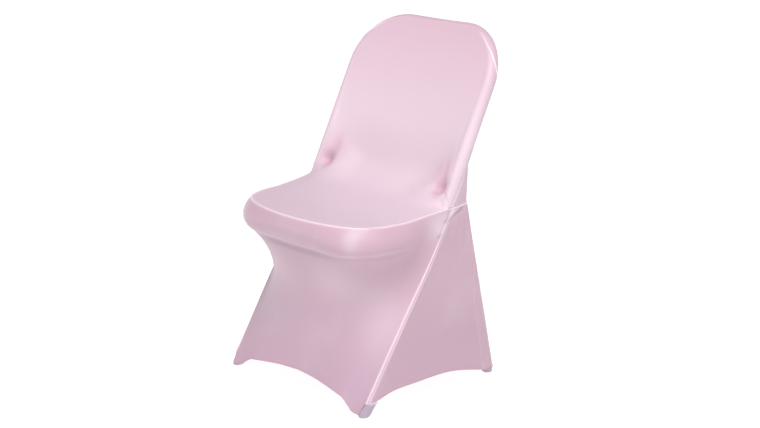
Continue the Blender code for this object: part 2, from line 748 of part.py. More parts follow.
def finish(name, mesh, material):
    """Move a piece to the cover's own origin and make its object."""
    origin = hoop(HOOP_HALF)[0] + (RAIL_R - CLOTH) * Z_AXIS
    for vertex in mesh.verts:
        vertex.co = np.array(vertex.co) - origin
    data = bpy.data.meshes.new(name)
    mesh.to_mesh(data)
    mesh.free()
    data.shade_smooth()
    data.set_sharp_from_angle(angle=SHARP_ANGLE)
    data.materials.append(material)
    piece = bpy.data.objects.new(name, data)
    bpy.context.scene.collection.objects.link(piece)
    return piece


def cloth_material(name, colour):
    material = bpy.data.materials.new(name)
    material.use_nodes = True
    shader = material.node_tree.nodes["Principled BSDF"]
    shader.inputs["Base Color"].default_value = colour
    shader.inputs["Roughness"].default_value = ROUGHNESS
    shader.inputs["Metallic"].default_value = 0.0
    return material


def main():
    for item in list(bpy.data.objects):
        bpy.data.objects.remove(item, do_unlink=True)
    seam = seams()
    lines = frame_lines()
    nets, edges = seat_and_back(seam, lines)
    sheet("seat_and_inside_back", nets, edges, True, cloth_material("seat_cloth", PINK))
    nets, edges = outside_back(seam, lines)
    sheet("outside_back", nets, edges, False, cloth_material("back_cloth", PINK))
    nets, edges = front_skirt(seam, lines)
    sheet("front_skirt", nets, edges, True, cloth_material("skirt_cloth", PINK))
    nets, edges = side_gore(seam, lines)
    sheet("side_gore_right", nets, edges, True, cloth_material("right_gore_cloth", PINK))
    nets = [net * MIRROR for net in nets]
    edges = [mirrored(edge) for edge in edges]
    sheet("side_gore_left", nets, edges, False, cloth_material("left_gore_cloth", PINK))
    for word, side in (("right", 1), ("left", -1)):
        slope = BEND_Y / BEND_Z
        pocket("foot_pocket_front_" + word, leg_y(0.0), slope, FRONT_POCKET_RIM, side,
               cloth_material("front_pocket_" + word, POCKET_GREY))
        pocket("foot_pocket_rear_" + word, REAR_FOOT_Y, REAR_SLOPE, REAR_POCKET_RIM, side,
               cloth_material("rear_pocket_" + word, POCKET_GREY))


main()
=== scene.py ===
"""The looks of a stretch chair cover: nine pieces of blush pink knit over a folding chair.

The sheets are the frame's own tensioned nets, made finer, with the seams, hems and creases
of the cloth worked into them. Shapes are worked out with the floor at z = 0 and the front
feet at y = 0, and moved to the frame's origin at the end.
"""

import math

import bpy
import bmesh
import numpy as np
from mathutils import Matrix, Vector


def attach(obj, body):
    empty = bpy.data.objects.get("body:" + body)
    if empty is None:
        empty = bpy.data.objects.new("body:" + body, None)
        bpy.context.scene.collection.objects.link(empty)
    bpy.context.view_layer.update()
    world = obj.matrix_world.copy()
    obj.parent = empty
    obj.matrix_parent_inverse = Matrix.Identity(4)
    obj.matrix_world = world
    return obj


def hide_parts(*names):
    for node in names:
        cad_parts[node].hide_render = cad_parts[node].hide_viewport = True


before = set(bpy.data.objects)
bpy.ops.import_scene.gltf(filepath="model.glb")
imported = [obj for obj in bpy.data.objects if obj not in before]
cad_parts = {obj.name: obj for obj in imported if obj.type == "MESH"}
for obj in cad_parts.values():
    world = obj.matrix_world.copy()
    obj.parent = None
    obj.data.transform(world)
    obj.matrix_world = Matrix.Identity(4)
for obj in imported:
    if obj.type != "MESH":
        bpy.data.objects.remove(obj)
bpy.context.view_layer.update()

# Driving sizes of the frame that the cloth wraps
FOOT_X = 0.2126
BEND_X = 0.2090
BEND_Y = 0.1896
BEND_Z = 0.3026
BEND_SOFTNESS = 0.02
BACK_LEAN = math.radians(26.8)
BACK_LENGTH = 0.5188
BACK_CORNER_R = 0.1242
BACK_BOW = 0.0171
REAR_FOOT_Y = 0.3813
REAR_SLOPE = -0.2345
RAIL_R = 0.0145
LEG_AXIS_TOP = 0.40
HOOP_AXIS_START = 0.13
REAR_AXIS_TOP = 0.405
# Points along the axes of a leg and of half the hoop
LEG_POINTS = 21
HOOP_POINTS = 50

# Seam round the seat: half outline from the middle of the front, and heights
SEAT_OUTLINE = ((0.0, -0.022), (0.060, -0.0185), (0.115, -0.008), (0.160, 0.010),
                (0.189, 0.035), (0.202, 0.062), (0.209, 0.094), (0.212, 0.130),
                (0.2165, 0.200))
SEAT_CORNER = 4
SEAM_Z = 0.400
JUNCTION_Z = 0.410
REAR_TURN_Z = 0.4145
SEAM_RISE_Y = (0.13, 0.25)
SEAT_REST_Z = 0.3985
# How far the cloth may stand off the seat, by distance back
SEAT_STAND_OFF = ((0.040, 0.001), (0.120, 0.003), (0.180, 0.009), (0.230, 0.022), (0.270, 0.045),
                  (0.300, 0.080))

# Beside the rails it may stand off more: from and to this far out, and this far back
FREE_X = (0.080, 0.190)
FREE_Y = (0.200, 0.250)
FREE_RISE = 0.060

# Seam angles round the rails, in degrees: (distance up the hoop or height, angle)
JUNCTION_ANGLE = 18.0
HOOP_SEAM = ((0.125, JUNCTION_ANGLE), (0.260, 62.0), (0.400, 66.0), (0.449, -30.0),
             (0.490, -74.0), (0.675, -74.0))
FRONT_LEG_SEAM = ((0.0297, 68.0), (0.125, 55.0), (0.228, 35.0), (JUNCTION_Z, -JUNCTION_ANGLE))
# Where each cloth's wrap leaves the hoop, in the same way
INSIDE_LEAVES = ((0.125, -20.0), (0.147, -60.0), (0.180, -81.0), (0.400, -84.0), (0.675, -86.0))
OUTSIDE_LEAVES = ((0.225, 58.0), (0.300, 82.0), (0.675, 82.0))
INSIDE_STEPS = 5
OUTSIDE_STEPS = 8
# Below this distance the outside back hangs straight from the hoop to the rear leg's top
WEB_TOP = 0.225
WEB_BULGE = 0.003
# How far the rear leg's seam runs ahead of the leg's outer line, by height
REAR_LEG_SEAM = ((0.015, 0.026), (0.190, 0.020), (0.260, 0.004), (0.330, -0.006),
                 (REAR_TURN_Z, -0.011))

# Front band over the seat's rolled edge: depth, then bulge at the middle and corners
BAND = ((0.010, 0.006, 0.010), (0.022, 0.009, 0.018), (0.035, 0.008, 0.021),
        (0.049, 0.001, 0.019), (0.060, -0.011, 0.013))
BAND_FADE_Y = (0.080, 0.170)
BAND_CORNER_X = (0.05, 0.18)

# Hems, by distance from the middle, and foot pockets
FRONT_HEM = ((0.0, 0.044), (0.060, 0.0415), (0.100, 0.0375), (0.150, 0.031), (0.170, 0.021),
             (0.185, 0.0085), (0.195, 0.0066))
FRONT_HEM_Y = 0.002
REAR_HEM_RISE = 0.045
REAR_HEM_ARCH = 0.8
REAR_HEM_LEAN = 0.1
REAR_HEM_TURNS = (20, 60, 88)
SIDE_HEM = ((0.028, 0.034), (0.060, 0.041), (0.200, 0.044), (0.262, 0.038), (0.300, 0.028),
            (0.345, 0.014), (0.352, 0.013))
FRONT_POCKET_RIM = ((-180, 0.005), (-150, 0.006), (-120, 0.010), (-90, 0.018), (-60, 0.026),
                    (-30, 0.030), (-10, 0.031), (8, 0.031), (24, 0.031), (40, 0.0305),
                    (54, 0.030), (68, 0.0292), (80, 0.0265), (90, 0.016), (102, 0.006),
                    (120, 0.005), (140, 0.005), (160, 0.005))
GORE_AT_RIM = (10, 9, 8, 7)
SKIRT_AT_RIM = (12, 13, 14)
REAR_POCKET_RIM = tuple((degrees, 0.012) for degrees in range(-180, 180, 20))

# Hollows beside the rails at the back of the seat
HOLLOW_AT = (0.178, 0.270, 0.441)
HOLLOW_DEPTH = 0.013
HOLLOW_WIDTH = 0.015
HOLLOW_UP = 0.030
HOLLOW_DOWN = 0.012

# Cloth
CLOTH = 0.002
RIM_GAP = 0.0005
SEAM_TURN_LENGTH = 0.04
CROSS_TENSION = 1.3
SWEEPS = 1200
GORE_NARROWING = 0.6
CURVE_STEPS = 24
NUDGE = 0.001
# How far from an edge its seam is looked for
RIM_REACH = 0.06
# Least lengths that are divided by: a vector's, off a rail's axis, a net's edge, and squared
LEAST = 1e-12
LEAST_OFF = 1e-9
TINY = 1e-5
SPECK = 1e-15

# How far each net starts off its chords, and how squarely
SEAT_SWELL = (0.0, -0.04, 0.03)
SEAT_SWELL_POWER = 0.4
BACK_SWELL = (0.0, 0.07, 0.0)
BACK_SWELL_POWER = 0.3
SKIRT_SWELL = 0.03
SKIRT_SWELL_POWER = 0.5
SKIRT_MIDDLE = (0.0, 0.12, 0.0)
GORE_SWELL = 0.008

# Where the nets' lines fall, as fractions of each seam, closer where the cloth wraps
HALF_BACK = (0.0, 0.05, 0.10, 0.155, 0.22, 0.31, 0.42, 0.55, 0.70, 0.85, 1.0)
SEAT_SIDE = (0.0, 0.04, 0.085, 0.135, 0.20, 0.29, 0.40, 0.53, 0.67, 0.83, 1.0)
BACK_RISE = (0.0, 0.035, 0.075, 0.12, 0.17, 0.23, 0.30, 0.39, 0.49, 0.60, 0.70, 0.765, 0.825,
             0.885, 0.945, 1.0)
GORE_SPREAD = (0.0, 0.02, 0.04, 0.055, 0.075, 0.20, 0.42, 0.70, 1.0)
SKIRT_DROP = (0.0, 0.026, 0.058, 0.092, 0.129, 0.158, 0.20, 0.26, 0.33, 0.41, 0.50, 0.60,
              0.70, 0.80, 0.89, 0.96, 1.0)
# Every point is held off the rails in the first sweeps, and then only those near one,
# looked for afresh every few sweeps at places along the rails
FULL_SWEEPS = 120
NEAR_RAIL = 0.045
NEAR_SWEEPS = 12
RAIL_SAMPLES = 90

X_AXIS = np.array([1.0, 0.0, 0.0])
Y_AXIS = np.array([0.0, 1.0, 0.0])
Z_AXIS = np.array([0.0, 0.0, 1.0])
UP_BACK = np.array([0.0, math.sin(BACK_LEAN), math.cos(BACK_LEAN)])
OFF_BACK = np.array([0.0, math.cos(BACK_LEAN), -math.sin(BACK_LEAN)])
MIRROR = np.array([-1.0, 1.0, 1.0])
LEVEL = np.array([1.0, 1.0, 0.0])
HOOP_STRAIGHT = BACK_LENGTH - BACK_CORNER_R
HOOP_ARC = BACK_CORNER_R * math.pi / 2
HOOP_HALF = HOOP_STRAIGHT + HOOP_ARC + BEND_X - BACK_CORNER_R


def ramp(values, start, end):
    """0 before the start, 1 after the end, and even between."""
    return np.clip((values - start) / (end - start), 0.0, 1.0)


def ease(t):
    t = np.clip(t, 0.0, 1.0)
    return t * t * (3.0 - 2.0 * t)


def keyed(x, keys):
    """Value at x from rows of (position, value), eased from row to row."""
    if x <= keys[0][0]:
        return keys[0][1]
    for (x0, v0), (x1, v1) in zip(keys, keys[1:]):
        if x <= x1:
            return v0 + (v1 - v0) * ease((x - x0) / (x1 - x0))
    return keys[-1][1]


def linear(x, keys):
    return float(np.interp(x, [k[0] for k in keys], [k[1] for k in keys]))


def unit(v):
    v = np.asarray(v, float)
    return v / np.maximum(np.linalg.norm(v, axis=-1, keepdims=True), LEAST)


def smooth_curve(points, steps):
    """Fine points on a curve that passes through the given points."""
    points = np.array(points, float)
    ends = np.vstack([2 * points[0] - points[1], points, 2 * points[-1] - points[-2]])
    fine = []
    for a, b, c, d in zip(ends, ends[1:], ends[2:], ends[3:]):
        for t in np.arange(steps) / steps:
            fine.append(0.5 * (2 * b + (c - a) * t + (2 * a - 5 * b + 4 * c - d) * t ** 2
                               + (3 * b - a - 3 * c + d) * t ** 3))
    fine.append(points[-1])
    return np.array(fine)


def positions(points):
    """Lengths along a row of points, as a net's line places."""
    return np.concatenate([[0.0], np.cumsum(np.linalg.norm(np.diff(points, axis=0), axis=1))])


def spaced(fine, fractions):
    """Points at the given fractions of a fine polyline's length."""
    run = positions(fine)
    at = np.array(fractions) * run[-1]
    return np.column_stack([np.interp(at, run, fine[:, k]) for k in range(fine.shape[1])])


# Frame lines

def leg_y(z):
    """Front leg's axis: straight to the bend, then on up the back's lean."""
    over = BEND_SOFTNESS * math.log1p(math.exp((z - BEND_Z) / BEND_SOFTNESS))
    first = BEND_Y / BEND_Z
    return BEND_Y + first * (z - BEND_Z) + (math.tan(BACK_LEAN) - first) * over


def leg_x(z):
    return FOOT_X + (BEND_X - FOOT_X) * min(z / BEND_Z, 1.0)


def front_leg_skin(z, degrees):
    """Cloth line on the front leg: 0 is outward, 90 is forward. Returns point, inward."""
    a = math.radians(degrees)
    slope = (leg_y(z + NUDGE) - leg_y(z - NUDGE)) / (2 * NUDGE)
    stretch = math.sqrt(1.0 + slope * slope)
    point = np.array([leg_x(z) + RAIL_R * math.cos(a),
                      leg_y(z) - RAIL_R * stretch * math.sin(a), z])
    return point, np.array([-math.cos(a), stretch * math.sin(a), 0.0])


def above_rim(k):
    """Cloth point just clear of the front pocket's rim, at the rim's row k."""
    (a0, z0), (a1, z1), (a2, z2) = FRONT_POCKET_RIM[k - 1:k + 2]
    along = unit([math.radians(a2 - a0) * RAIL_R, z2 - z0])
    degrees = a1 - math.degrees(RIM_GAP * along[1] / RAIL_R)
    z = z1 + RIM_GAP * along[0]
    point, into = front_leg_skin(z, min(degrees, 90.0))
    beyond = math.radians(max(degrees - 90.0, 0.0)) * RAIL_R
    return point - beyond * X_AXIS, into


def rear_leg_y(z):
    return REAR_FOOT_Y + REAR_SLOPE * z


def rear_leg_turn(z, a):
    """Cloth line on the rear leg, turned back from its outside. Returns point, inward."""
    stretch = math.sqrt(1.0 + REAR_SLOPE ** 2)
    point = np.array([FOOT_X + RAIL_R * math.cos(a),
                      rear_leg_y(z) + RAIL_R * stretch * math.sin(a), z])
    return point, -np.array([math.cos(a), math.sin(a), 0.0])


def rear_leg_skin(z, ahead):
    """Cloth line on the rear leg, or on the flat cloth ahead of its outer line."""
    if ahead >= 0.0:
        return np.array([FOOT_X + RAIL_R, rear_leg_y(z) - ahead, z]), -X_AXIS
    return rear_leg_turn(z, -ahead / RAIL_R)


def hoop(d):
    """Right half of the backrest rail: axis point and outward direction at distance d."""
    if d < HOOP_STRAIGHT:
        x, t, out = BEND_X, d, X_AXIS
    elif d < HOOP_STRAIGHT + HOOP_ARC:
        a = (d - HOOP_STRAIGHT) / BACK_CORNER_R
        x = BEND_X - BACK_CORNER_R * (1 - math.cos(a))
        t = HOOP_STRAIGHT + BACK_CORNER_R * math.sin(a)
        out = math.cos(a) * X_AXIS + math.sin(a) * UP_BACK
    else:
        x, t, out = HOOP_HALF - d, BACK_LENGTH, UP_BACK
    bow = BACK_BOW * (1 - (x / BEND_X) ** 2) * t / BACK_LENGTH
    base = np.array([x, BEND_Y, BEND_Z])
    return base + t * UP_BACK + bow * OFF_BACK, out


def hoop_strip(distances, leave, steps):
    """Cloth wrapped on the hoop, from its seam round to where it leaves the rail."""
    points, inward = [], []
    for d in distances:
        axis, out = hoop(d)
        skins, into = [], []
        for degrees in np.linspace(keyed(d, HOOP_SEAM), keyed(d, leave), steps + 1):
            a = math.radians(degrees)
            away = math.cos(a) * out + math.sin(a) * OFF_BACK
            skins.append(axis + RAIL_R * away)
            into.append(-away)
        points.append(skins)
        inward.append(into)
    for k in range(steps + 1):
        angle = -JUNCTION_ANGLE - k * (keyed(distances[0], leave) - JUNCTION_ANGLE) / steps
        points[0][k], inward[0][k] = front_leg_skin(JUNCTION_Z, angle)
    return np.array(points), np.array(inward)


def rear_web(strip, distances, rear_leg):
    """The outside back's lower rows: straight from the seam to a line down to the rear leg."""
    points, inward = strip
    rows = [k for k, d in enumerate(distances) if d < WEB_TOP]
    top, top_in = points[rows[-1] + 1][-1], inward[rows[-1] + 1][-1]
    low, low_in = rear_leg[0][0], rear_leg[1][0]
    share = np.linspace(0.0, 1.0, points.shape[1])[:, None]
    for k in rows:
        drop = 1 - (distances[k] - distances[0]) / (WEB_TOP - distances[0])
        end = (1 - drop) * top + drop * low
        bulge = 4 * share * (1 - share) * WEB_BULGE * drop
        points[k] = (1 - share) * points[k][0] + share * end + bulge * X_AXIS
        end_in = (1 - drop) * top_in + drop * low_in
        inward[k] = unit((1 - share) * inward[k][0] + share * end_in)
    return points, inward


def seams():
    """Every seam on the right half, as points and inward directions."""
    lean = math.radians(JUNCTION_ANGLE)
    rise = JUNCTION_Z + RAIL_R * math.sin(lean) * math.sin(BACK_LEAN) - BEND_Z
    start = rise / math.cos(BACK_LEAN)
    corner = HOOP_STRAIGHT + HOOP_ARC / 2
    distances = [start + f * (corner - start) for f in BACK_RISE]
    distances += [corner + f * (HOOP_HALF - corner) for f in HALF_BACK[1:]]
    made = {}
    made["inside_strip"] = hoop_strip(distances, INSIDE_LEAVES, INSIDE_STEPS)
    drop = JUNCTION_Z - FRONT_LEG_SEAM[0][0]
    heights = [JUNCTION_Z - f * drop for f in SKIRT_DROP]
    made["front_leg"] = pairs(front_leg_skin(z, linear(z, FRONT_LEG_SEAM)) for z in heights)
    drop = REAR_TURN_Z - REAR_LEG_SEAM[0][0]
    heights = [REAR_TURN_Z - f * drop for f in SKIRT_DROP]
    made["rear_leg"] = pairs(rear_leg_skin(z, linear(z, REAR_LEG_SEAM)) for z in heights)
    strip = hoop_strip(distances, OUTSIDE_LEAVES, OUTSIDE_STEPS)
    made["outside_strip"] = rear_web(strip, distances, made["rear_leg"])
    made["seat_side"], made["seat_front"] = seat_seam(row(made["inside_strip"], 0))
    return made


def row(strip, k):
    return strip[0][k], strip[1][k]


def line(strip, r):
    return strip[0][:, r], strip[1][:, r]


def pairs(rows):
    rows = list(rows)
    return np.array([r[0] for r in rows]), np.array([r[1] for r in rows])


def seat_seam(wrap):
    """Seam round the seat: from the hoop's wrap to the corner, and the front half."""
    start, start_in = wrap[0][-1], wrap[1][-1]
    right = [(x, y, seam_height(y)) for x, y in SEAT_OUTLINE]
    left = [(-x, y, z) for x, y, z in right[:0:-1]]
    loop = [start * MIRROR] + left + right + [start]
    fine = smooth_curve(loop, CURVE_STEPS)
    middle = len(left) + 1
    corner = (middle + SEAT_CORNER) * CURVE_STEPS
    side = spaced(fine[corner:][::-1], SEAT_SIDE)
    front = spaced(fine[middle * CURVE_STEPS:corner + 1][::-1], HALF_BACK)
    inward = []
    whole = np.vstack([side, front[1:]])
    for k, point in enumerate(whole):
        ahead = whole[min(k + 1, len(whole) - 1)] - whole[max(k - 1, 0)]
        if k == len(whole) - 1:
            ahead = -X_AXIS
        plain = -unit(unit(np.cross(Z_AXIS, ahead)) + Z_AXIS)
        near = ease(np.linalg.norm(point - start) / SEAM_TURN_LENGTH)
        inward.append(unit((1 - near) * start_in + near * plain))
    inward = np.array(inward)
    cut = len(side)
    return (side, inward[:cut]), (front, inward[cut - 1:])


def seam_height(y):
    return SEAM_Z + (JUNCTION_Z - SEAM_Z) * ease(ramp(y, *SEAM_RISE_Y))


def frame_lines():
    """Axes of the rails that the cloth is held off, as polylines."""
    right = [(leg_x(z), leg_y(z), z) for z in np.linspace(0.0, LEG_AXIS_TOP, LEG_POINTS)]
    right += [tuple(hoop(d)[0]) for d in np.linspace(HOOP_AXIS_START, HOOP_HALF, HOOP_POINTS)]
    right = np.array(right)
    hoop_line = np.vstack([right, (right * MIRROR)[-2::-1]])
    rear = np.array([(FOOT_X, rear_leg_y(z), z) for z in (0.0, REAR_AXIS_TOP)])
    return [hoop_line, rear, rear * MIRROR]


def hold_off(points, lines):
    """Push points out to the rails' skin."""
    starts = np.vstack([line[:-1] for line in lines])
    runs = np.vstack([np.diff(line, axis=0) for line in lines])
    gap = points[:, None, :] - starts[None]
    along = np.clip((gap * runs).sum(2) / (runs * runs).sum(1), 0.0, 1.0)
    away = gap - along[..., None] * runs
    far = np.linalg.norm(away, axis=2)
    nearest = far.argmin(1)
    rows = np.arange(len(points))
    far, away = far[rows, nearest], away[rows, nearest]
    inside = far < RAIL_R
    out = points.copy()
    out[inside] += away[inside] * (RAIL_R / np.maximum(far[inside], LEAST_OFF) - 1.0)[:, None]
    return out


# Nets

def patch(top, bottom, left, right, across, down):
    """A sheet blended between its four edges."""
    u = (across / across[-1])[:, None, None]
    v = (down / down[-1])[None, :, None]
    between = (1 - v) * top[:, None] + v * bottom[:, None]
    between = between + (1 - u) * left[None] + u * right[None]
    corners = (1 - u) * ((1 - v) * top[0] + v * bottom[0])
    return between - corners - u * ((1 - v) * top[-1] + v * bottom[-1])


def within_reach(points, lines):
    """Which points are near enough to a rail to need holding off it for the next few sweeps."""
    places = np.vstack([spaced(line, np.linspace(0.0, 1.0, RAIL_SAMPLES)) for line in lines])
    squared = ((points[:, None, :] - places[None]) ** 2).sum(2).min(1)
    return np.flatnonzero(squared < NEAR_RAIL ** 2)


def relax(net, across, down, lines, pull=CROSS_TENSION, extra=None):
    """Settle a net under tension, held at its edges and held off the rails."""
    step_u, step_v = np.diff(across), np.diff(down)
    mid_u = (step_u[1:] + step_u[:-1]) / 2
    mid_v = (step_v[1:] + step_v[:-1]) / 2
    left = pull * mid_v[None] / step_u[:-1, None]
    right = pull * mid_v[None] / step_u[1:, None]
    above = mid_u[:, None] / step_v[None, :-1]
    below = mid_u[:, None] / step_v[None, 1:]
    total = (left + right + above + below)[..., None]
    for sweep in range(SWEEPS):
        inner = (left[..., None] * net[:-2, 1:-1] + right[..., None] * net[2:, 1:-1]
                 + above[..., None] * net[1:-1, :-2] + below[..., None] * net[1:-1, 2:])
        inner = (inner / total).reshape(-1, 3)
        if sweep < FULL_SWEEPS:
            near = slice(None)
        elif sweep % NEAR_SWEEPS == 0:
            near = within_reach(inner, lines)
        inner[near] = hold_off(inner[near], lines)
        net[1:-1, 1:-1] = inner.reshape(net[1:-1, 1:-1].shape)
        if extra is not None:
            extra(net)


def mirrored(pair):
    return pair[0] * MIRROR, pair[1] * MIRROR


def joined(*parts):
    """Edges end to end, each a (points, inward) pair, shared ends once."""
    points = np.vstack([parts[0][0]] + [p[0][1:] for p in parts[1:]])
    inward = np.vstack([parts[0][1]] + [p[1][1:] for p in parts[1:]])
    return points, inward


def back(pair):
    return pair[0][::-1], pair[1][::-1]


def whole_width(pair):
    """A half edge that ends at the middle, carried across: left to right."""
    return joined(mirrored(pair), back(pair))


def split_strip(strip):
    """A strip's inner line, parted at the backrest's corner: (rise, top)."""
    inner = line(strip, -1)
    cut = len(BACK_RISE)
    return (inner[0][:cut], inner[1][:cut]), (inner[0][cut - 1:], inner[1][cut - 1:])


def swollen(net, across, down, power, push):
    """Move a net's middle off its chords, so that it starts on the right side."""
    swell = np.sin(np.pi * across[1:-1] / across[-1])[:, None] ** power
    swell = swell * np.sin(np.pi * down[1:-1] / down[-1])[None] ** power
    net[1:-1, 1:-1] += swell[..., None] * push
    return net


def seat_and_back(seam, lines):
    """Seat and inside back: a wrap on the hoop, then down and over the seat."""
    rise, top = split_strip(seam["inside_strip"])
    side = joined(back(rise), seam["seat_side"])
    top, bottom = whole_width(top), whole_width(seam["seat_front"])
    across, down = positions(bottom[0]), positions(side[0])
    net = patch(top[0], bottom[0], side[0] * MIRROR, side[0], across, down)
    net = swollen(net, across, down, SEAT_SWELL_POWER, np.array(SEAT_SWELL))

    def rest_on_seat(sheet):
        inner = sheet[1:-1, 1:-1]
        seated = inner[..., 1] < SEAT_STAND_OFF[-1][0]
        above = np.interp(inner[..., 1], [k[0] for k in SEAT_STAND_OFF],
                          [k[1] for k in SEAT_STAND_OFF])
        above = above + FREE_RISE * beside_rails(inner)
        held = np.clip(inner[..., 2], SEAT_REST_Z, SEAT_REST_Z + above)
        inner[..., 2] = np.where(seated, held, inner[..., 2])

    relax(net, across, down, lines, extra=rest_on_seat)
    press_hollows(net)
    edges = strip_edges(seam["inside_strip"])
    edges += [mirrored(seam["seat_side"]), seam["seat_side"], bottom]
    return whole_strip(seam["inside_strip"][0]), net, across, down, edges


def beside_rails(points):
    """How near the points are to the rails at the back of the seat: 0 away from them, 1 beside."""
    return ramp(np.abs(points[..., 0]), *FREE_X) ** 2 * ramp(points[..., 1], *FREE_Y)


def whole_strip(strip):
    """A strip's right half, carried across to the left: left junction to right."""
    return np.concatenate([strip * MIRROR, strip[-2::-1]])


def strip_edges(strip):
    """A strip's seam over the hoop, and its two ends."""
    end = row(strip, 0)
    return [whole_width(line(strip, 0)), end, mirrored(end)]


def press_hollows(net):
    """The cloth sinks beside the rails where the seat meets the back."""
    inward = unit(np.cross(np.gradient(net, axis=0), np.gradient(net, axis=1)))
    for sign in (1.0, -1.0):
        gap = net - np.array(HOLLOW_AT) * np.array([sign, 1.0, 1.0])
        along = gap @ UP_BACK
        side = np.linalg.norm(gap - along[..., None] * UP_BACK, axis=2)
        reach = np.where(along > 0, HOLLOW_UP, HOLLOW_DOWN)
        press = HOLLOW_DEPTH * np.exp(-(side / HOLLOW_WIDTH) ** 2 - (along / reach) ** 2)
        press[0], press[-1] = 0.0, 0.0
        net += press[..., None] * inward


def outside_back(seam, lines):
    """Outside back: a wrap over the hoop, down behind, round the legs to the hem."""
    rise, top = split_strip(seam["outside_strip"])
    low = seam["rear_leg"]
    side = joined(back(rise), low)
    top = whole_width(top)
    hem = rear_hem(side)
    across, down = positions(top[0]), positions(side[0])
    net = patch(top[0], hem[0], side[0] * MIRROR, side[0], across, down)
    net = swollen(net, across, down, BACK_SWELL_POWER, np.array(BACK_SWELL))
    relax(net, across, down, lines)
    edges = strip_edges(seam["outside_strip"]) + [low, mirrored(low), hem]
    return whole_strip(seam["outside_strip"][0]), net, across, down, edges


def rear_hem(side):
    """Rear hem: round the foot's outside at the pocket's rim, then an arch across."""
    rim = REAR_POCKET_RIM[0][1] + RIM_GAP
    rows = [row(side, -1)]
    rows += [rear_leg_turn(rim, math.radians(degrees)) for degrees in REAR_HEM_TURNS]
    back_y = rows[-1][0][1]
    wrapped = len(REAR_HEM_TURNS)
    for f in HALF_BACK[wrapped + 1:]:
        x = FOOT_X * (1 - (f - HALF_BACK[wrapped]) / (1 - HALF_BACK[wrapped]))
        rise = REAR_HEM_RISE * (1 - (x / FOOT_X) ** 2) ** REAR_HEM_ARCH
        y = back_y + REAR_HEM_LEAN * REAR_SLOPE * rise
        rows.append((np.array([x, y, rim + rise]), -Y_AXIS))
    return whole_width(pairs(rows))


def front_skirt(seam, lines):
    """Front skirt: from leg seam to leg seam round the seat's front corners."""
    half = joined(row(seam["inside_strip"], 0), seam["seat_side"], seam["seat_front"])
    top = whole_width(half)
    leg = seam["front_leg"]
    hem = front_hem(leg, half)
    edges = [top, hem, mirrored(leg), leg]
    across, down = positions(top[0]), positions(leg[0])
    net = patch(*(e[0] for e in edges), across, down)
    out = unit((net[1:-1, 1:-1] - np.array(SKIRT_MIDDLE)) * LEVEL)
    net = swollen(net, across, down, SKIRT_SWELL_POWER, SKIRT_SWELL * out)
    band, hold = front_band(top[0], net.shape)

    def keep_band(sheet):
        rows = slice(1, 1 + len(BAND))
        sheet[:, rows] += hold[..., None] * (band - sheet[:, rows])

    relax(net, across, down, lines, extra=keep_band)
    return None, net, across, down, edges


def front_band(top, shape):
    """Cloth rolled over the seat's edge, and how firmly each point is held there."""
    ahead = np.gradient(top, axis=0) * LEVEL
    out = unit(np.cross(ahead, Z_AXIS))
    firm = 1 - ease(ramp(top[:, 1], *BAND_FADE_Y))
    corner = ease(ramp(np.abs(top[:, 0]), *BAND_CORNER_X))
    band = np.zeros((shape[0], len(BAND), 3))
    for k, (depth, middle, ends) in enumerate(BAND):
        bulge = middle + (ends - middle) * corner
        band[:, k] = top + bulge[:, None] * out - depth * Z_AXIS
    hold = np.repeat(firm[:, None], len(BAND), axis=1)
    hold[0], hold[-1] = 0.0, 0.0
    return band, hold


def front_hem(leg, half):
    """Front hem: round the pocket's rim, down beside the foot, then an arch across."""
    rows = [row(leg, -1)] + [above_rim(k) for k in SKIRT_AT_RIM]
    reach, front_y = rows[-1][0][:2]
    run = positions(half[0])[len(SKIRT_AT_RIM):]
    for f in (run[1:] - run[0]) / (run[-1] - run[0]):
        x = reach * (1 - f)
        y = front_y + (FRONT_HEM_Y - front_y) * ease(1 - x / reach)
        rows.append((np.array([x, y, linear(x, FRONT_HEM)]), Y_AXIS))
    return whole_width(pairs(rows))


def side_gore(seam, lines):
    """Side gore: the triangle between the front and the rear leg."""
    front, rear = seam["front_leg"], seam["rear_leg"]
    top = row(seam["outside_strip"], 0)
    hem = side_hem(front, rear)
    edges = [top, hem, front, rear]
    length = rear[0][-1][1] - front[0][-1][1]
    across = np.array(GORE_SPREAD) * length * GORE_NARROWING
    down = positions(front[0])
    net = patch(*(e[0] for e in edges), across, down)
    net[1:-1, 1:-1] += GORE_SWELL * X_AXIS
    relax(net, across, down, lines)
    return None, net, across, down, edges


def side_hem(front, rear):
    """Side hem: round the front pocket's outside, then an arch back to the rear leg."""
    rows = [row(front, -1)] + [above_rim(k) for k in GORE_AT_RIM]
    start, end = rows[-1][0], rear[0][-1]
    wrapped = len(GORE_AT_RIM)
    for f in GORE_SPREAD[wrapped + 1:]:
        share = (f - GORE_SPREAD[wrapped]) / (1 - GORE_SPREAD[wrapped])
        y = start[1] + (end[1] - start[1]) * share
        z = end[2] if f == 1.0 else linear(y, SIDE_HEM)
        rows.append((np.array([FOOT_X + RAIL_R, y, z]), -X_AXIS))
    return pairs(rows)


# Finer cloth: its thickness, its depth at a seam, and its grid's step
THICK = 0.0008
SEAM_DEPTH = 0.003
RIM_TUCK = 0.0004
STEP = 0.0048
SMOOTHINGS = 14
# Grid lines beside a seam or hem, by distance from it
NEAR_EDGE = (0.0007, 0.0014, 0.0022, 0.0032, 0.0046, 0.0062, 0.0074, 0.0084, 0.0098, 0.0125)
# Lines along a wrap round the rail, as shares of its width, closer beside its seam
WRAP_LINES = (0.0, 0.02, 0.04, 0.06, 0.09, 0.12, 0.16, 0.20, 0.25, 0.32, 0.40, 0.50, 0.60, 0.70,
              0.80, 0.90, 1.0)


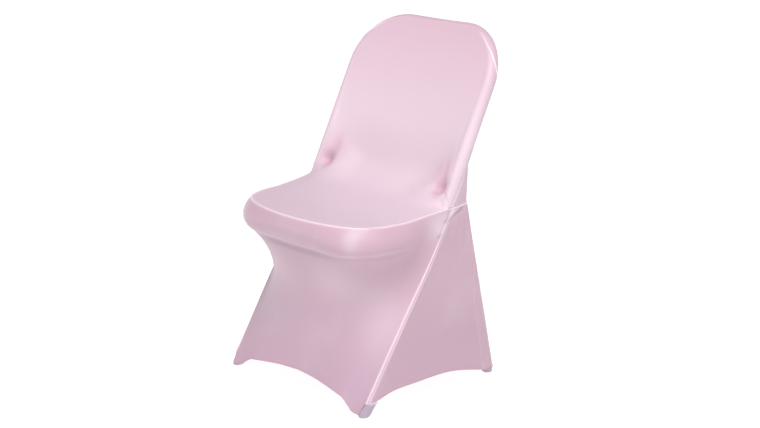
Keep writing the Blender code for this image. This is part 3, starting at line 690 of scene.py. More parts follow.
def hermite(values, at, where):
    """Smooth values between rows: values at places, read at other places."""
    wide = (-1,) + (1,) * (values.ndim - 1)
    steps = np.diff(at)
    slopes = np.diff(values, axis=0) / steps.reshape(wide)
    weight = (steps[1:] / (steps[1:] + steps[:-1])).reshape(wide)
    tangents = np.empty_like(values)
    tangents[1:-1] = weight * slopes[:-1] + (1 - weight) * slopes[1:]
    tangents[0] = 1.5 * slopes[0] - 0.5 * tangents[1]
    tangents[-1] = 1.5 * slopes[-1] - 0.5 * tangents[-2]
    k = np.clip(np.searchsorted(at, where, side="right") - 1, 0, len(at) - 2)
    h = steps[k].reshape(wide)
    t = ((where - at[k]) / steps[k]).reshape(wide)
    return ((2 * t ** 3 - 3 * t ** 2 + 1) * values[k] + (t ** 3 - 2 * t ** 2 + t) * h * tangents[k]
            + (3 * t ** 2 - 2 * t ** 3) * values[k + 1] + (t ** 3 - t ** 2) * h * tangents[k + 1])


def finer(net, across, down, fine_u, fine_v):
    return hermite(hermite(net, across, fine_u).swapaxes(0, 1), down, fine_v).swapaxes(0, 1)


def fine_places(low, high, start_edge=True, end_edge=True):
    """Places from low to high, STEP apart, and closer beside an edge with a seam or hem."""
    start = [low] + [low + d for d in NEAR_EDGE] if start_edge else [low]
    end = [high - d for d in reversed(NEAR_EDGE)] + [high] if end_edge else [high]
    count = max(1, round((end[0] - start[-1]) / STEP))
    return np.array(start + list(np.linspace(start[-1], end[0], count + 1)[1:-1]) + end)


class Cloth:
    """Points, their places on the flat cloth, and four-sided faces between them."""

    def __init__(self):
        self.points = np.zeros((0, 3))
        self.flat = np.zeros((0, 2))
        self.faces = np.zeros((0, 4), int)

    def add(self, points, flat):
        """Add a grid and return its points' numbers."""
        first = len(self.points)
        self.points = np.vstack([self.points, points.reshape(-1, 3)])
        self.flat = np.vstack([self.flat, flat.reshape(-1, 2)])
        return np.arange(first, len(self.points)).reshape(points.shape[:2])

    def fill(self, number):
        corners = [number[:-1, :-1], number[1:, :-1], number[1:, 1:], number[:-1, 1:]]
        self.faces = np.vstack([self.faces, np.stack([c.ravel() for c in corners], 1)])


def grid_flat(across, down):
    return np.stack(np.meshgrid(across, down, indexing="ij"), axis=-1)


def refined(strip, net, across, down):
    """A cloth from a net, and the strip that wraps the hoop round its top, if it has one."""
    cloth = Cloth()
    width = across[-1]
    fine_u = fine_places(0.0, width)
    if strip is None:
        fine_v = fine_places(0.0, down[-1])
        cloth.fill(cloth.add(finer(net, across, down, fine_u, fine_v), grid_flat(fine_u, fine_v)))
        return cloth
    rise = len(BACK_RISE)
    reach = down[rise - 1]
    side = fine_places(0.0, reach, False, False)
    fine_v = np.concatenate([side, fine_places(reach, down[-1], False, True)[1:]])
    number = cloth.add(finer(net, across, down, fine_u, fine_v), grid_flat(fine_u, fine_v))
    cloth.fill(number)
    at = np.concatenate([-down[:rise][::-1], across[1:], width + down[1:rise]])
    where = np.concatenate([-side[::-1], fine_u[1:], width + side[1:]])
    span = positions(strip[len(strip) // 2])[-1]
    fine_s = span * np.array(WRAP_LINES)
    wrap = finer(strip, at, np.linspace(0.0, span, strip.shape[1]), where, fine_s)
    flat = grid_flat(where, fine_s - span)
    left = len(side)
    right = left + len(fine_u) - 1
    flat[:left] = np.stack([flat[:left, :, 1], -flat[:left, :, 0]], axis=-1)
    flat[right:] = np.stack([width - flat[right:, :, 1], flat[right:, :, 0] - width], axis=-1)
    ring = np.concatenate([number[0, :left][::-1], number[1:, 0], number[-1, 1:left]])
    outer = cloth.add(wrap[:, :-1], flat[:, :-1])
    cloth.points[ring] = wrap[:, -1]
    cloth.fill(np.concatenate([outer, ring[:, None]], axis=1))
    return cloth


def edge_pairs(faces):
    """Each edge once, and those that only one face has, in that face's direction."""
    directed = np.concatenate([faces[:, [k, (k + 1) % 4]] for k in range(4)])
    ordered = np.sort(directed, axis=1)
    unique, index, count = np.unique(ordered, axis=0, return_index=True, return_counts=True)
    return unique, directed[index[count == 1]]


def gather(rows, values, count):
    """Sums of three-part values, by row number."""
    return np.column_stack([np.bincount(rows, values[:, k], count) for k in range(3)])


def smooth(cloth, edges, pinned, lines):
    """Ease the cloth's points between their neighbours, held at its edges and off the rails."""
    a, b = edges[:, 0], edges[:, 1]
    count = len(cloth.points)
    weight = 1.0 / np.maximum(np.linalg.norm(cloth.points[a] - cloth.points[b], axis=1), TINY)
    total = np.bincount(a, weight, count) + np.bincount(b, weight, count)
    for _ in range(SMOOTHINGS):
        gathered = gather(a, weight[:, None] * cloth.points[b], count)
        gathered += gather(b, weight[:, None] * cloth.points[a], count)
        eased = 0.5 * cloth.points + 0.5 * gathered / total[:, None]
        eased[pinned] = cloth.points[pinned]
        cloth.points = eased
    cloth.points[~pinned] = hold_off(cloth.points[~pinned], lines)


def point_normals(points, faces):
    """Outward directions at points, from the faces round them."""
    cross = np.cross(points[faces[:, 2]] - points[faces[:, 0]],
                     points[faces[:, 3]] - points[faces[:, 1]])
    return unit(sum(gather(faces[:, k], cross, len(points)) for k in range(4)))


def distance(points, path, reach):
    """Distance from each point to a path, and how far along it the nearest place is."""
    path = np.asarray(path, float)
    runs = np.diff(path, axis=0)
    squared = np.maximum((runs * runs).sum(1), SPECK)
    along = positions(path)
    best = np.full(len(points), np.inf)
    place = np.zeros(len(points))
    for k in range(len(runs)):
        length = math.sqrt(squared[k])
        near = np.flatnonzero(np.abs(points - path[k]).max(1) < reach + length)
        if not len(near):
            continue
        gap = points[near] - path[k]
        t = np.clip((gap @ runs[k]) / squared[k], 0.0, 1.0)
        far = np.linalg.norm(gap - t[:, None] * runs[k], axis=1)
        closer = far < best[near]
        best[near[closer]] = far[closer]
        place[near[closer]] = (along[k] + t * length)[closer]
    return best, place


# Seams, hems and creases

# Steps between the points of a seam, a long hem and a fold
SEAM_STEPS = 3
HEM_STEPS = 4
FOLD_STEPS = 8
# How far off a seam works, and how much wider its painted highlight line is than its ridge
SEAM_REACH = 0.02
SHINE_SPREAD = 1.25
# The allowance under the cloth beside a leg's seam, with a faint painted highlight over it, and the
# ridge and painted highlight line at its edge
ALLOWANCE = 0.0075
ALLOWANCE_RISE = 0.0005
ALLOWANCE_STEP = 0.0016
ALLOWANCE_SHINE = 0.22
ALLOWANCE_SHINE_STEP = 0.0020
EDGE_INSET = 0.0012
EDGE_RISE = 0.0004
EDGE_WIDTH = 0.0010
EDGE_SHINE = 0.65
# Turned hem: width, rise and how pink it is, with the softness of their steps
HEM_WIDTH = 0.0052
HEM_RISE = 0.0005
HEM_STEP = 0.0012
HEM_PINK = 0.42
HEM_PINK_STEP = 0.0015
# The seam's painted highlight is as dull as the cloth over the top rail, and grows round the corners
HOOP_SHINE = 0.75
HOOP_DULL = 0.62
HOOP_PALES = (0.180, 0.130)
# Dents and bumps have their reach along X, out of the back and up the back
DENT_AXES = np.array([X_AXIS, OFF_BACK, UP_BACK])
FAR_OFF = 0.05
ORIGIN = hoop(HOOP_HALF)[0] + (RAIL_R - CLOTH) * Z_AXIS


def bell(d, width):
    return np.exp(-(d / width) ** 2)


def step_down(d, edge, soft):
    """1 up to an edge, then 0, with a soft step between."""
    return ease(ramp(d, edge + soft / 2, edge - soft / 2))


def raise_seam(cloth, look, paths, height=0.0009, width=0.0016, shine=0.8, allowance=0.0):
    """A seam's ridge with a painted highlight along it, and the step over the allowance that lies
    under the cloth beside it, with painted highlights over it and along its edge.
    """
    for path in paths:
        d, run = distance(cloth.points, path, SEAM_REACH)
        up = height * bell(d, width)
        # pale: the painted highlight along the ridge, over the allowance and along its edge
        pale = shine * bell(d, width * SHINE_SPREAD)
        if allowance:
            edge = bell(d - allowance + EDGE_INSET, EDGE_WIDTH)
            up = np.maximum(up, ALLOWANCE_RISE * step_down(d, allowance, ALLOWANCE_STEP))
            up = up + EDGE_RISE * edge
            pale = np.maximum(pale, shine * EDGE_SHINE * edge)
            inside = step_down(d, allowance, ALLOWANCE_SHINE_STEP)
            pale = np.maximum(pale, shine * ALLOWANCE_SHINE * inside)
        cloth.lift += up
        look["glow"] = np.maximum(look["glow"], pale)
        near = d < look["off"]
        look["off"] = np.where(near, d, look["off"])
        look["run"] = np.where(near, run, look["run"])


def raise_hem(cloth, look, path):
    """A turned hem: a flat raised band, pinker where the cloth lies double."""
    d = distance(cloth.points, path, SEAM_REACH)[0]
    cloth.lift += HEM_RISE * step_down(d, HEM_WIDTH, HEM_STEP)
    look["pink"] = np.maximum(look["pink"], HEM_PINK * step_down(d, HEM_WIDTH, HEM_PINK_STEP))


def touch(cloth, path, width, reach, soft_end):
    """How strongly a path touches each point: across it, and its fade towards its ends."""
    path = smooth_curve(path, FOLD_STEPS)
    d, run = distance(cloth.points, path, reach * width)
    fade = np.clip(np.minimum(run, positions(path)[-1] - run) / soft_end, 0.0, 1.0)
    return bell(d, width), fade


def crease(cloth, path, height, width, soft_end):
    """A fold line along a path: a ridge, or a trough if height is negative."""
    near, fade = touch(cloth, path, width, 4, soft_end)
    cloth.lift += height * near * ease(fade)


def shade(cloth, look, path, tone, amount, width, soft_end):
    """Change the cloth's tone along a path."""
    near, fade = touch(cloth, path, width, 3, soft_end)
    look[tone] = np.clip(look[tone] + amount * near * fade, 0.0, 1.0)


def tint(cloth, look, at, tone, amount, reach):
    """Change the cloth's tone softly round a place."""
    gap = (cloth.points - at) / np.array(reach)
    look[tone] = np.clip(look[tone] + amount * np.exp(-(gap * gap).sum(1)), 0.0, 1.0)


def dent(cloth, at, depth, reach, axes):
    """A soft hollow, or a bump if depth is negative."""
    gap = (cloth.points - at) @ np.array(axes).T
    cloth.lift -= depth * np.exp(-((gap / np.array(reach)) ** 2).sum(1))


def work(cloth, look, rows, sides=(1.0, -1.0)):
    """Work rows of folds, hollows and tones into the cloth, on each side of the middle."""
    for side in sides:
        flip = np.array([side, 1.0, 1.0])
        for kind, at, *rest in rows:
            at = np.array(at) * flip
            if kind == "crease":
                crease(cloth, at, *rest)
            elif kind == "shade":
                shade(cloth, look, at, *rest)
            elif kind == "tint":
                tint(cloth, look, at, *rest)
            else:
                dent(cloth, at, *rest, DENT_AXES * flip if kind == "dent" else np.eye(3))


def wash(cloth, look, rows):
    """Add tones that grow along Y (1) or Z (2): tone, axis, from, to, amount."""
    for tone, axis, start, end, amount in rows:
        look[tone] += amount * ramp(cloth.points[:, axis], start, end)


def hoop_seam(cloth, look, seam):
    across = np.abs(cloth.points[:, 0])
    path = smooth_curve(whole_width(line(seam["inside_strip"], 0))[0], SEAM_STEPS)
    raise_seam(cloth, look, [path], shine=HOOP_SHINE - HOOP_DULL * ramp(across, *HOOP_PALES))


def both(points):
    """A path on the right, and the same on the left."""
    points = np.array(points, float)
    return [points, points * MIRROR]


def seat_line(seam):
    """The seam round the seat, from junction to junction, as one path."""
    half = joined(seam["seat_side"], seam["seat_front"])
    return smooth_curve(whole_width(half)[0], SEAM_STEPS)


# Rows for work. A crease has a height, width and soft end; a shade a tone, amount, width and
# soft end; a tint a tone, amount and reach; a dent or bump a depth and reach.
PIT = (0.1820, 0.2500, 0.4490)
TROUGH = ((0.1870, 0.2450, 0.4390), (0.1800, 0.2580, 0.4640), (0.1730, 0.2680, 0.4920),
          (0.1660, 0.2780, 0.5220), (0.1600, 0.2880, 0.5500))
LIP = ((0.2050, 0.2385, 0.4400), (0.1930, 0.2380, 0.4350), (0.1790, 0.2390, 0.4340),
       (0.1650, 0.2430, 0.4400))
FOLD = ((0.1990, 0.2450, 0.4450), (0.2080, 0.2400, 0.4370), (0.2148, 0.2384, 0.4286),
        (0.2215, 0.2415, 0.4180))
OUTER_EDGE = ((0.2060, 0.2490, 0.4560), (0.2130, 0.2445, 0.4420), (0.2190, 0.2425, 0.4290))
PULL = ((0.1620, 0.2450, 0.4400), (0.1300, 0.2500, 0.4420), (0.0900, 0.2600, 0.4480))
ABOVE_PIT = (0.1740, 0.2720, 0.4820)
ABOVE_REACH = (0.020, 0.030, 0.045)
# Beside each rail at the back of the seat: a pit, its trough, lip and folds, with painted shade along
# the trough, in and above the pit, on its inner wall and over the hump beside it
SEAT_WORK = (
    ("dent", PIT, 0.0180, (0.0165, 0.028, 0.0185)),
    ("crease", TROUGH, -0.0085, 0.0130, 0.060),
    # Painted shade along the trough
    ("shade", TROUGH, "pink", 0.45, 0.0130, 0.050),
    ("dent", (0.1480, 0.2600, 0.4780), 0.0030, (0.0200, 0.030, 0.0260)),
    ("crease", LIP, 0.0016, 0.0045, 0.012),
    ("crease", FOLD, -0.0014, 0.0030, 0.010),
    ("crease", OUTER_EDGE, 0.0008, 0.0030, 0.010),
    ("crease", PULL, -0.0006, 0.0060, 0.030),
    # Painted shade: over the hump, on the pit's inner wall, and in and above the pit
    ("tint", (0.1500, 0.2620, 0.4850), "pale", -0.22, (0.022, 0.030, 0.030)),
    ("tint", (0.1770, 0.2520, 0.4540), "lilac", 0.40, (0.013, 0.024, 0.024)),
    ("tint", PIT, "pink", 0.62, (0.019, 0.024, 0.019)),
    ("tint", ABOVE_PIT, "pink", 0.248, ABOVE_REACH),
    ("tint", PIT, "pale", -0.45, (0.019, 0.024, 0.019)),
    ("tint", ABOVE_PIT, "pale", -0.18, ABOVE_REACH),
)
# Paler all over the seat and inside back: partly stretched cloth, partly painted light
SEAT_PALE = 0.57
# Painted shade: greyer over the seat, less pale up the inside back and towards the seat's front
SEAT_WASH = (("lilac", 1, 0.24, 0.19, 0.16), ("pale", 2, 0.56, 0.76, -0.44),
             ("pale", 1, 0.14, 0.04, -0.10))


def seat_detail(cloth, look, seam):
    look["pale"] += SEAT_PALE
    wash(cloth, look, SEAT_WASH)
    hoop_seam(cloth, look, seam)
    raise_seam(cloth, look, [seat_line(seam)], 0.0013, 0.0024, 0.85)
    raise_seam(cloth, look, both(row(seam["inside_strip"], 0)[0]))
    work(cloth, look, SEAT_WORK)


# The panel's slack between the rear legs' tops, and the folds of its web beside the seat
BACK_WORK = (
    ("crease", ((0.206, 0.325, 0.440), (0.170, 0.345, 0.420), (0.110, 0.356, 0.405),
                (0.050, 0.360, 0.400)), 0.0016, 0.012, 0.040),
    ("crease", ((0.212, 0.315, 0.400), (0.165, 0.335, 0.360), (0.120, 0.345, 0.310)),
     -0.0012, 0.010, 0.040),
    ("crease", ((0.2255, 0.262, 0.424), (0.2262, 0.276, 0.448), (0.2262, 0.292, 0.478)),
     0.0011, 0.0040, 0.015),
    ("crease", ((0.2262, 0.284, 0.420), (0.2270, 0.292, 0.440), (0.2270, 0.303, 0.466)),
     -0.0009, 0.0045, 0.015),
)
# Painted light on the outside back: paler from its middle up, less pale near the top, and painted
# shade over the top rail
BACK_WASH = (("pale", 2, 0.36, 0.48, 0.30), ("pale", 2, 0.69, 0.79, -0.30),
             ("lilac", 2, 0.77, 0.82, 0.45))


def back_detail(cloth, look, seam):
    wash(cloth, look, BACK_WASH)
    hoop_seam(cloth, look, seam)
    leg = smooth_curve(seam["rear_leg"][0], SEAM_STEPS)
    raise_seam(cloth, look, both(leg), 0.0008, 0.0015, 0.25)
    raise_seam(cloth, look, both(row(seam["outside_strip"], 0)[0]), 0.0010, 0.0018, 0.85)
    side = joined(back(split_strip(seam["outside_strip"])[0]), seam["rear_leg"])
    raise_hem(cloth, look, smooth_curve(rear_hem(side)[0], HEM_STEPS))
    work(cloth, look, BACK_WORK)


# The crease under the seat's band, from the middle of the front to the right
BAND_FOOT = ((0.0, -0.0105, 0.3405), (0.042, -0.0095, 0.3395), (0.0872, -0.0085, 0.3390),
             (0.132, -0.0062, 0.3380), (0.1714, 0.0034, 0.3396), (0.1997, 0.025, 0.3435),
             (0.2145, 0.0520, 0.3465), (0.2225, 0.0900, 0.3490), (0.2260, 0.1350, 0.3530))
BAND_FOOT = tuple((-x, y, z) for x, y, z in BAND_FOOT[:0:-1]) + BAND_FOOT
UNDER_BAND = tuple((x * 0.985, y + 0.004, z - 0.0125) for x, y, z in BAND_FOOT)
# A ridge along the band's foot with a painted highlight, and a trough under it with painted shade
BAND_WORK = (
    ("crease", BAND_FOOT, 0.0013, 0.0026, 0.050),
    ("crease", UNDER_BAND, -0.0022, 0.0070, 0.060),
    ("shade", BAND_FOOT, "pale", 0.40, 0.0028, 0.050),
    ("shade", UNDER_BAND, "lilac", 0.60, 0.0080, 0.060),
)
# Stretch lines round the seat's front corners: the top one, and each one's drop and height
BROW = ((0.0, -0.026, 0.392), (0.060, -0.024, 0.392), (0.115, -0.014, 0.391), (0.160, 0.004, 0.391),
        (0.192, 0.031, 0.392), (0.206, 0.060, 0.393), (0.213, 0.094, 0.394))
BROW_LINES = ((0.0, 0.0010), (0.006, 0.0008), (0.013, 0.0009), (0.024, 0.0006), (0.034, 0.0007),
              (0.043, 0.0006))
BROW_WANDER = 0.0015
# Small tucks beside the leg's seam under the seat
TUCKS = 5
TUCK_AT = (0.2240, 0.232, 0.401)
TUCK_STEP = (0.0, -0.010, -0.001)
TUCK_LINE = ((0.0, 0.0, 0.0), (0.001, -0.004, -0.012), (0.001, -0.009, -0.026))


def brow_line(k):
    """One stretch line, which starts a little farther round than the one before."""
    drop, height = BROW_LINES[k]
    path = [(x, y, z - drop - BROW_WANDER * math.sin(9 * x + 2 * k)) for x, y, z in BROW]
    return ("crease", path[1 + k % 2:] if k % 3 else path[2:], height, 0.0018, 0.035)


def tuck_line(k):
    path = np.array(TUCK_LINE) + np.array(TUCK_AT) + k * np.array(TUCK_STEP)
    return ("crease", path, 0.0011, 0.0021, 0.010)


SKIRT_WORK = (
    *(brow_line(k) for k in range(len(BROW_LINES))),
    # Painted highlights at the band's corners, under the band, towards the legs and beside the gore's
    # top, and the band a little pinker
    ("tint", (0.172, 0.008, 0.375), "pale", 0.42, (0.017, 0.030, 0.030)),
    ("tint", (0.120, -0.006, 0.375), "pink", 0.10, (0.040, 0.030, 0.030)),
    ("tint", (0.100, 0.026, 0.265), "pale", 0.30, (0.070, 0.060, 0.050)),
    ("tint", (0.190, 0.070, 0.180), "pale", 0.35, (0.050, 0.060, 0.090)),
    ("tint", (0.2235, 0.215, 0.375), "pale", 0.55, (0.030, 0.035, 0.035)),
    ("crease", ((0.2245, 0.2300, 0.366), (0.2275, 0.1950, 0.350), (0.2280, 0.1450, 0.345),
                (0.2250, 0.0950, 0.346)), 0.0010, 0.0060, 0.040),
    ("crease", ((0.2240, 0.2380, 0.398), (0.2270, 0.2050, 0.386), (0.2285, 0.1600, 0.378),
                (0.2265, 0.1150, 0.376)), -0.0009, 0.0050, 0.040),
    *(tuck_line(k) for k in range(TUCKS)),
    ("bump", (0.2241, 0.2300, 0.3930), -0.0028, (0.020, 0.006, 0.009)),
    ("bump", (0.2237, 0.2100, 0.3630), -0.0026, (0.020, 0.006, 0.008)),
    # Painted shade at the two rivet bumps
    ("tint", (0.2241, 0.2270, 0.3850), "lilac", 0.90, (0.020, 0.004, 0.004)),
    ("tint", (0.2237, 0.2085, 0.3550), "lilac", 0.90, (0.020, 0.004, 0.004)),
)
# Painted shade, darker towards the hem
SKIRT_WASH = (("lilac", 2, 0.24, 0.16, 0.30),)


def skirt_detail(cloth, look, seam):
    half = joined(row(seam["inside_strip"], 0), seam["seat_side"], seam["seat_front"])
    wash(cloth, look, SKIRT_WASH)
    raise_seam(cloth, look, [seat_line(seam)], 0.0013, 0.0022, 0.70)
    raise_seam(cloth, look, both(row(seam["inside_strip"], 0)[0]))
    leg = smooth_curve(seam["front_leg"][0], SEAM_STEPS)
    raise_seam(cloth, look, both(leg), 0.0010, 0.0015, 0.95)
    raise_hem(cloth, look, smooth_curve(front_hem(seam["front_leg"], half)[0], SEAM_STEPS))
    work(cloth, look, BAND_WORK, (1.0,))
    work(cloth, look, SKIRT_WORK)


# The folds where the gore meets the seat and the back, with painted shade in the fold and painted
# highlights on and beside the ridge, and its long pulls
GORE_FOLD = ((0.2235, 0.2380, 0.3780), (0.2247, 0.2500, 0.3890), (0.2250, 0.2640, 0.3990),
             (0.2245, 0.2860, 0.4080))
GORE_RIDGE = ((0.2245, 0.2470, 0.3990), (0.2250, 0.2560, 0.4030), (0.2250, 0.2720, 0.4095))
GORE_WORK = (
    ("crease", GORE_FOLD, -0.0022, 0.0034, 0.012),
    ("shade", GORE_FOLD, "lilac", 0.50, 0.0045, 0.020),
    ("crease", GORE_RIDGE, 0.0014, 0.0028, 0.010),
    ("shade", GORE_RIDGE, "pale", 0.50, 0.0050, 0.020),
    ("tint", (0.2245, 0.2450, 0.4000), "pale", 0.50, (0.020, 0.012, 0.014)),
    ("crease", ((0.2239, 0.275, 0.392), (0.2245, 0.262, 0.370), (0.2265, 0.245, 0.330)),
     0.0010, 0.0060, 0.030),
    ("crease", ((0.225, 0.295, 0.390), (0.226, 0.290, 0.350), (0.2265, 0.285, 0.290)),
     -0.0009, 0.0080, 0.050),
)
# Painted shade, darker towards the hem
GORE_WASH = (("lilac", 2, 0.24, 0.14, 0.25),)


def gore_detail(cloth, look, seam):
    front, rear = seam["front_leg"], seam["rear_leg"]
    wash(cloth, look, GORE_WASH)
    raise_seam(cloth, look, [smooth_curve(front[0], SEAM_STEPS)], 0.0010, 0.0015, 1.0, ALLOWANCE)
    raise_seam(cloth, look, [smooth_curve(rear[0], SEAM_STEPS)], 0.0008, 0.0015, 0.15)
    shade(cloth, look, rear[0], "pink", 0.35, 0.0030, 0.020)
    raise_seam(cloth, look, [row(seam["outside_strip"], 0)[0]], 0.0010, 0.0018, 0.85)
    raise_hem(cloth, look, smooth_curve(side_hem(front, rear)[0], HEM_STEPS))
    work(cloth, look, GORE_WORK, (1.0,))


# Pieces

def rim_inward(points, edges):
    """Inward directions for points on a cloth's edge, read from its seams."""
    best = np.full(len(points), np.inf)
    into = np.zeros_like(points)
    for path, inward in edges:
        d, run = distance(points, path, RIM_REACH)
        at = positions(path)
        here = np.column_stack([np.interp(run, at, inward[:, k]) for k in range(3)])
        near = d < best
        best[near] = d[near]
        into[near] = here[near]
    return unit(into)


def plain_look(count):
    """Tones of cloth without seams: how pale and pink it is, its painted shade and its painted
    highlight at a seam, and how far off the nearest seam and along it each point lies."""
    look = {tone: np.zeros(count) for tone in ("pale", "pink", "lilac", "glow", "run")}
    look["off"] = np.full(count, FAR_OFF)
    return look


def placed(name, mesh, look, flat):
    """A piece from a mesh, with its cloth's tones and its places on the flat cloth."""
    for tone, values in look.items():
        layer = mesh.attributes.new(tone, "FLOAT", "POINT")
        layer.data.foreach_set("value", values.astype(np.float32))
    layer = mesh.uv_layers.new(name="cloth")
    loops = np.zeros(len(mesh.loops), np.int32)
    mesh.loops.foreach_get("vertex_index", loops)
    layer.data.foreach_set("uv", flat[loops].astype(np.float32).ravel())
    mesh.shade_smooth()
    return linked(name, mesh)


def linked(name, data):
    piece = bpy.data.objects.new(name, data)
    bpy.context.scene.collection.objects.link(piece)
    return piece


def make_sheet(name, made, flip, detail, seam):
    """A cover's sheet as a closed thin piece with its detail worked in, and its area."""
    strip, net, across, down, edges = made
    cloth = refined(strip, net, across, down)
    edge, rim = edge_pairs(cloth.faces)
    count = len(cloth.points)
    pinned = np.zeros(count, bool)
    pinned[rim] = True
    smooth(cloth, edge, pinned, frame_lines())
    faces = cloth.faces[:, ::-1] if flip else cloth.faces
    out = point_normals(cloth.points, faces)
    cloth.lift = np.zeros(count)
    look = plain_look(count)
    detail(cloth, look, seam)
    outer = cloth.points + cloth.lift[:, None] * out
    into = -point_normals(outer, faces)
    into[pinned] = rim_inward(cloth.points[pinned], edges)
    outer[pinned] = cloth.points[pinned] + RIM_TUCK * into[pinned]
    inner = outer + np.where(pinned, SEAM_DEPTH, THICK)[:, None] * into
    walls = np.column_stack([rim[:, 1], rim[:, 0], rim[:, 0] + count, rim[:, 1] + count])
    if flip:
        walls = walls[:, ::-1]
    every = np.vstack([faces, faces[:, ::-1] + count, walls])
    mesh = bpy.data.meshes.new(name)
    mesh.from_pydata((np.vstack([outer, inner]) - ORIGIN).tolist(), [], every.tolist())
    mesh.update()
    look = {tone: np.concatenate([values, values]) for tone, values in look.items()}
    piece = placed(name, mesh, look, np.vstack([cloth.flat, cloth.flat]))
    corner = outer[faces]
    cross = np.cross(corner[:, 2] - corner[:, 0], corner[:, 3] - corner[:, 1])
    return piece, 0.5 * np.linalg.norm(cross, axis=1).sum()


def mirror_piece(piece, name):
    data = piece.data.copy()
    data.materials.clear()
    data.name = name
    mesh = bmesh.new()
    mesh.from_mesh(data)
    for vertex in mesh.verts:
        vertex.co.x = -vertex.co.x
    bmesh.ops.reverse_faces(mesh, faces=mesh.faces[:])
    mesh.to_mesh(data)
    mesh.free()
    return linked(name, data)


# Foot pockets: how much narrower they are at the floor, and up to what height
POCKET_TAPER = 0.0036
POCKET_TAPER_TOP = 0.026
POCKET_TURN = 4.0
POCKET_PALE_RIM = 0.004
# A rim's corners are blurred over this many degrees, on turns that reach past a half circle
RIM_BLUR = 5.0
BLUR_REACH = 12
PAST_HALF = 200.0
# Rings from the sole up and over the rim: beyond the rail's skin, height, share of the rim's
POCKET_SOLE = ((-0.0030, 0.0002, 0.0), (-0.0012, 0.0004, 0.0), (-0.0002, 0.0014, 0.0),
               (-0.0003, 0.0026, 0.0))
POCKET_WALL = tuple((0.0003 * math.sin(9 * share) - 0.0001, 0.0026 * (1 - share), share)
                    for share in (0.15, 0.30, 0.45, 0.60, 0.75))
POCKET_RIM = ((0.0, -0.0022, 1.0), (0.0009, -0.0016, 1.0), (0.0011, -0.0007, 1.0), (0.0004, 0.0, 1.0),
              (-0.0008, -0.0001, 1.0), (-0.0012, -0.0012, 1.0), (-0.0012, 0.0016, 0.0))


def rim_heights(turns, at, tops):
    """A pocket's rim height at each turn, with its corners softened."""
    fine = np.arange(-PAST_HALF, PAST_HALF, 1.0)
    wide = np.interp((fine + 180.0) % 360.0 - 180.0, at, tops)
    blur = np.exp(-(np.arange(-BLUR_REACH, BLUR_REACH + 1) / RIM_BLUR) ** 2)
    return np.interp(turns, fine, np.convolve(wide, blur / blur.sum(), "same"))


def make_pocket(name, foot_y, slope, rim, side):
    """A pocket over a leg's end: a cup with a serged rim and a sewn bottom edge."""
    stretch = math.sqrt(1.0 + slope * slope)
    at = np.array([key[0] for key in rim] + [rim[0][0] + 360.0])
    tops = np.array([key[1] for key in rim] + [rim[0][1]])
    turns = np.arange(0, 360, POCKET_TURN) - 180.0
    high = rim_heights(turns, at, tops)
    a = np.radians(turns)
    mesh = bmesh.new()
    rows = []
    for beyond, z, share in POCKET_SOLE + POCKET_WALL + POCKET_RIM:
        level = z + share * high
        radius = RAIL_R + beyond - POCKET_TAPER * ramp(level, POCKET_TAPER_TOP, 0.0)
        ring = np.column_stack([FOOT_X + radius * np.cos(a),
                                foot_y + slope * level - radius * stretch * np.sin(a), level])
        rows.append([mesh.verts.new(point - ORIGIN) for point in ring])
    for low, top in zip(rows, rows[1:]):
        for k in range(len(turns)):
            m = (k + 1) % len(turns)
            mesh.faces.new((low[m], low[k], top[k], top[m]))
    mesh.faces.new(rows[0])
    mesh.faces.new(rows[-1][::-1])
    for vertex in mesh.verts:
        vertex.co.x *= side
    bmesh.ops.recalc_face_normals(mesh, faces=mesh.faces[:])
    data = bpy.data.meshes.new(name)
    mesh.to_mesh(data)
    mesh.free()
    count = len(data.vertices)
    points = np.zeros(count * 3)
    data.vertices.foreach_get("co", points)
    x, y, z = (points.reshape(-1, 3) + ORIGIN).T
    flat = np.column_stack([np.arctan2(y - foot_y, x - side * FOOT_X) * RAIL_R, z])
    outward = np.arctan2(y - foot_y, side * x - FOOT_X)
    top_here = np.interp(-np.degrees(outward), at, tops)
    look = plain_look(count)
    look["pale"] = np.clip(1.0 - (top_here - z) / POCKET_PALE_RIM, 0.0, 1.0)
    return placed(name, data, look, flat)


# Colours: the cloth, where it is stretched pale and has painted highlights, pinker at hems, stitches
# and painted shade in folds, the painted highlight at seams, and painted shade
BASE = (0.535, 0.360, 0.440, 1.0)
PALE = (0.77, 0.64, 0.715, 1.0)
DEEP = (0.580, 0.280, 0.360, 1.0)
PAINTED_SEAM_HIGHLIGHT = (0.88, 0.75, 0.83, 1.0)
PAINTED_SHADE = (0.45, 0.32, 0.43, 1.0)
POCKET = (0.42, 0.35, 0.435, 1.0)
REAR_POCKET = (0.46, 0.34, 0.42, 1.0)
POCKET_PALE = (0.62, 0.55, 0.63, 1.0)
POCKET_DEEP = (0.25, 0.20, 0.27, 1.0)
SHEEN = (1.0, 0.93, 0.97, 1.0)
WHITE = (1.0, 1.0, 1.0, 1.0)
# Unevenness of the dye: broad and fine, and how much paler it makes the cloth
CLOUD_SCALE = 7.0
CLOUD_SHARE = 0.5
FINE_SCALE = 260.0
FINE_SHARE = 0.22
PALE_SHARE = 1.6
# Stitches beside a seam: distance off, half width, turns a metre, length and strength
STITCH_OFF = 0.0030
STITCH_HALF = 0.0005
STITCH_RATE = 2300.0
STITCH_FROM = -0.35
STITCH_TONE = 0.45
STITCH_RISE = 1.2
# The knit: wales and courses, and the drawn streaks along them
WALES = 260.0
COURSES = 190.0
LOOP_RISE = 0.35
STREAKS = (14.0, 160.0, 1.0)
STREAK_RISE = 0.5
KNIT_DEPTH = 0.0006
SHEET_KNIT = 0.10
POCKET_KNIT = 0.25
# Shine: roughness from and to, specular level, and the sheen's weight and roughness
ROUGH = (0.42, 0.56)
SPECULAR = 0.35
SHEEN_WEIGHT = 0.30
SHEEN_ROUGHNESS = 0.45


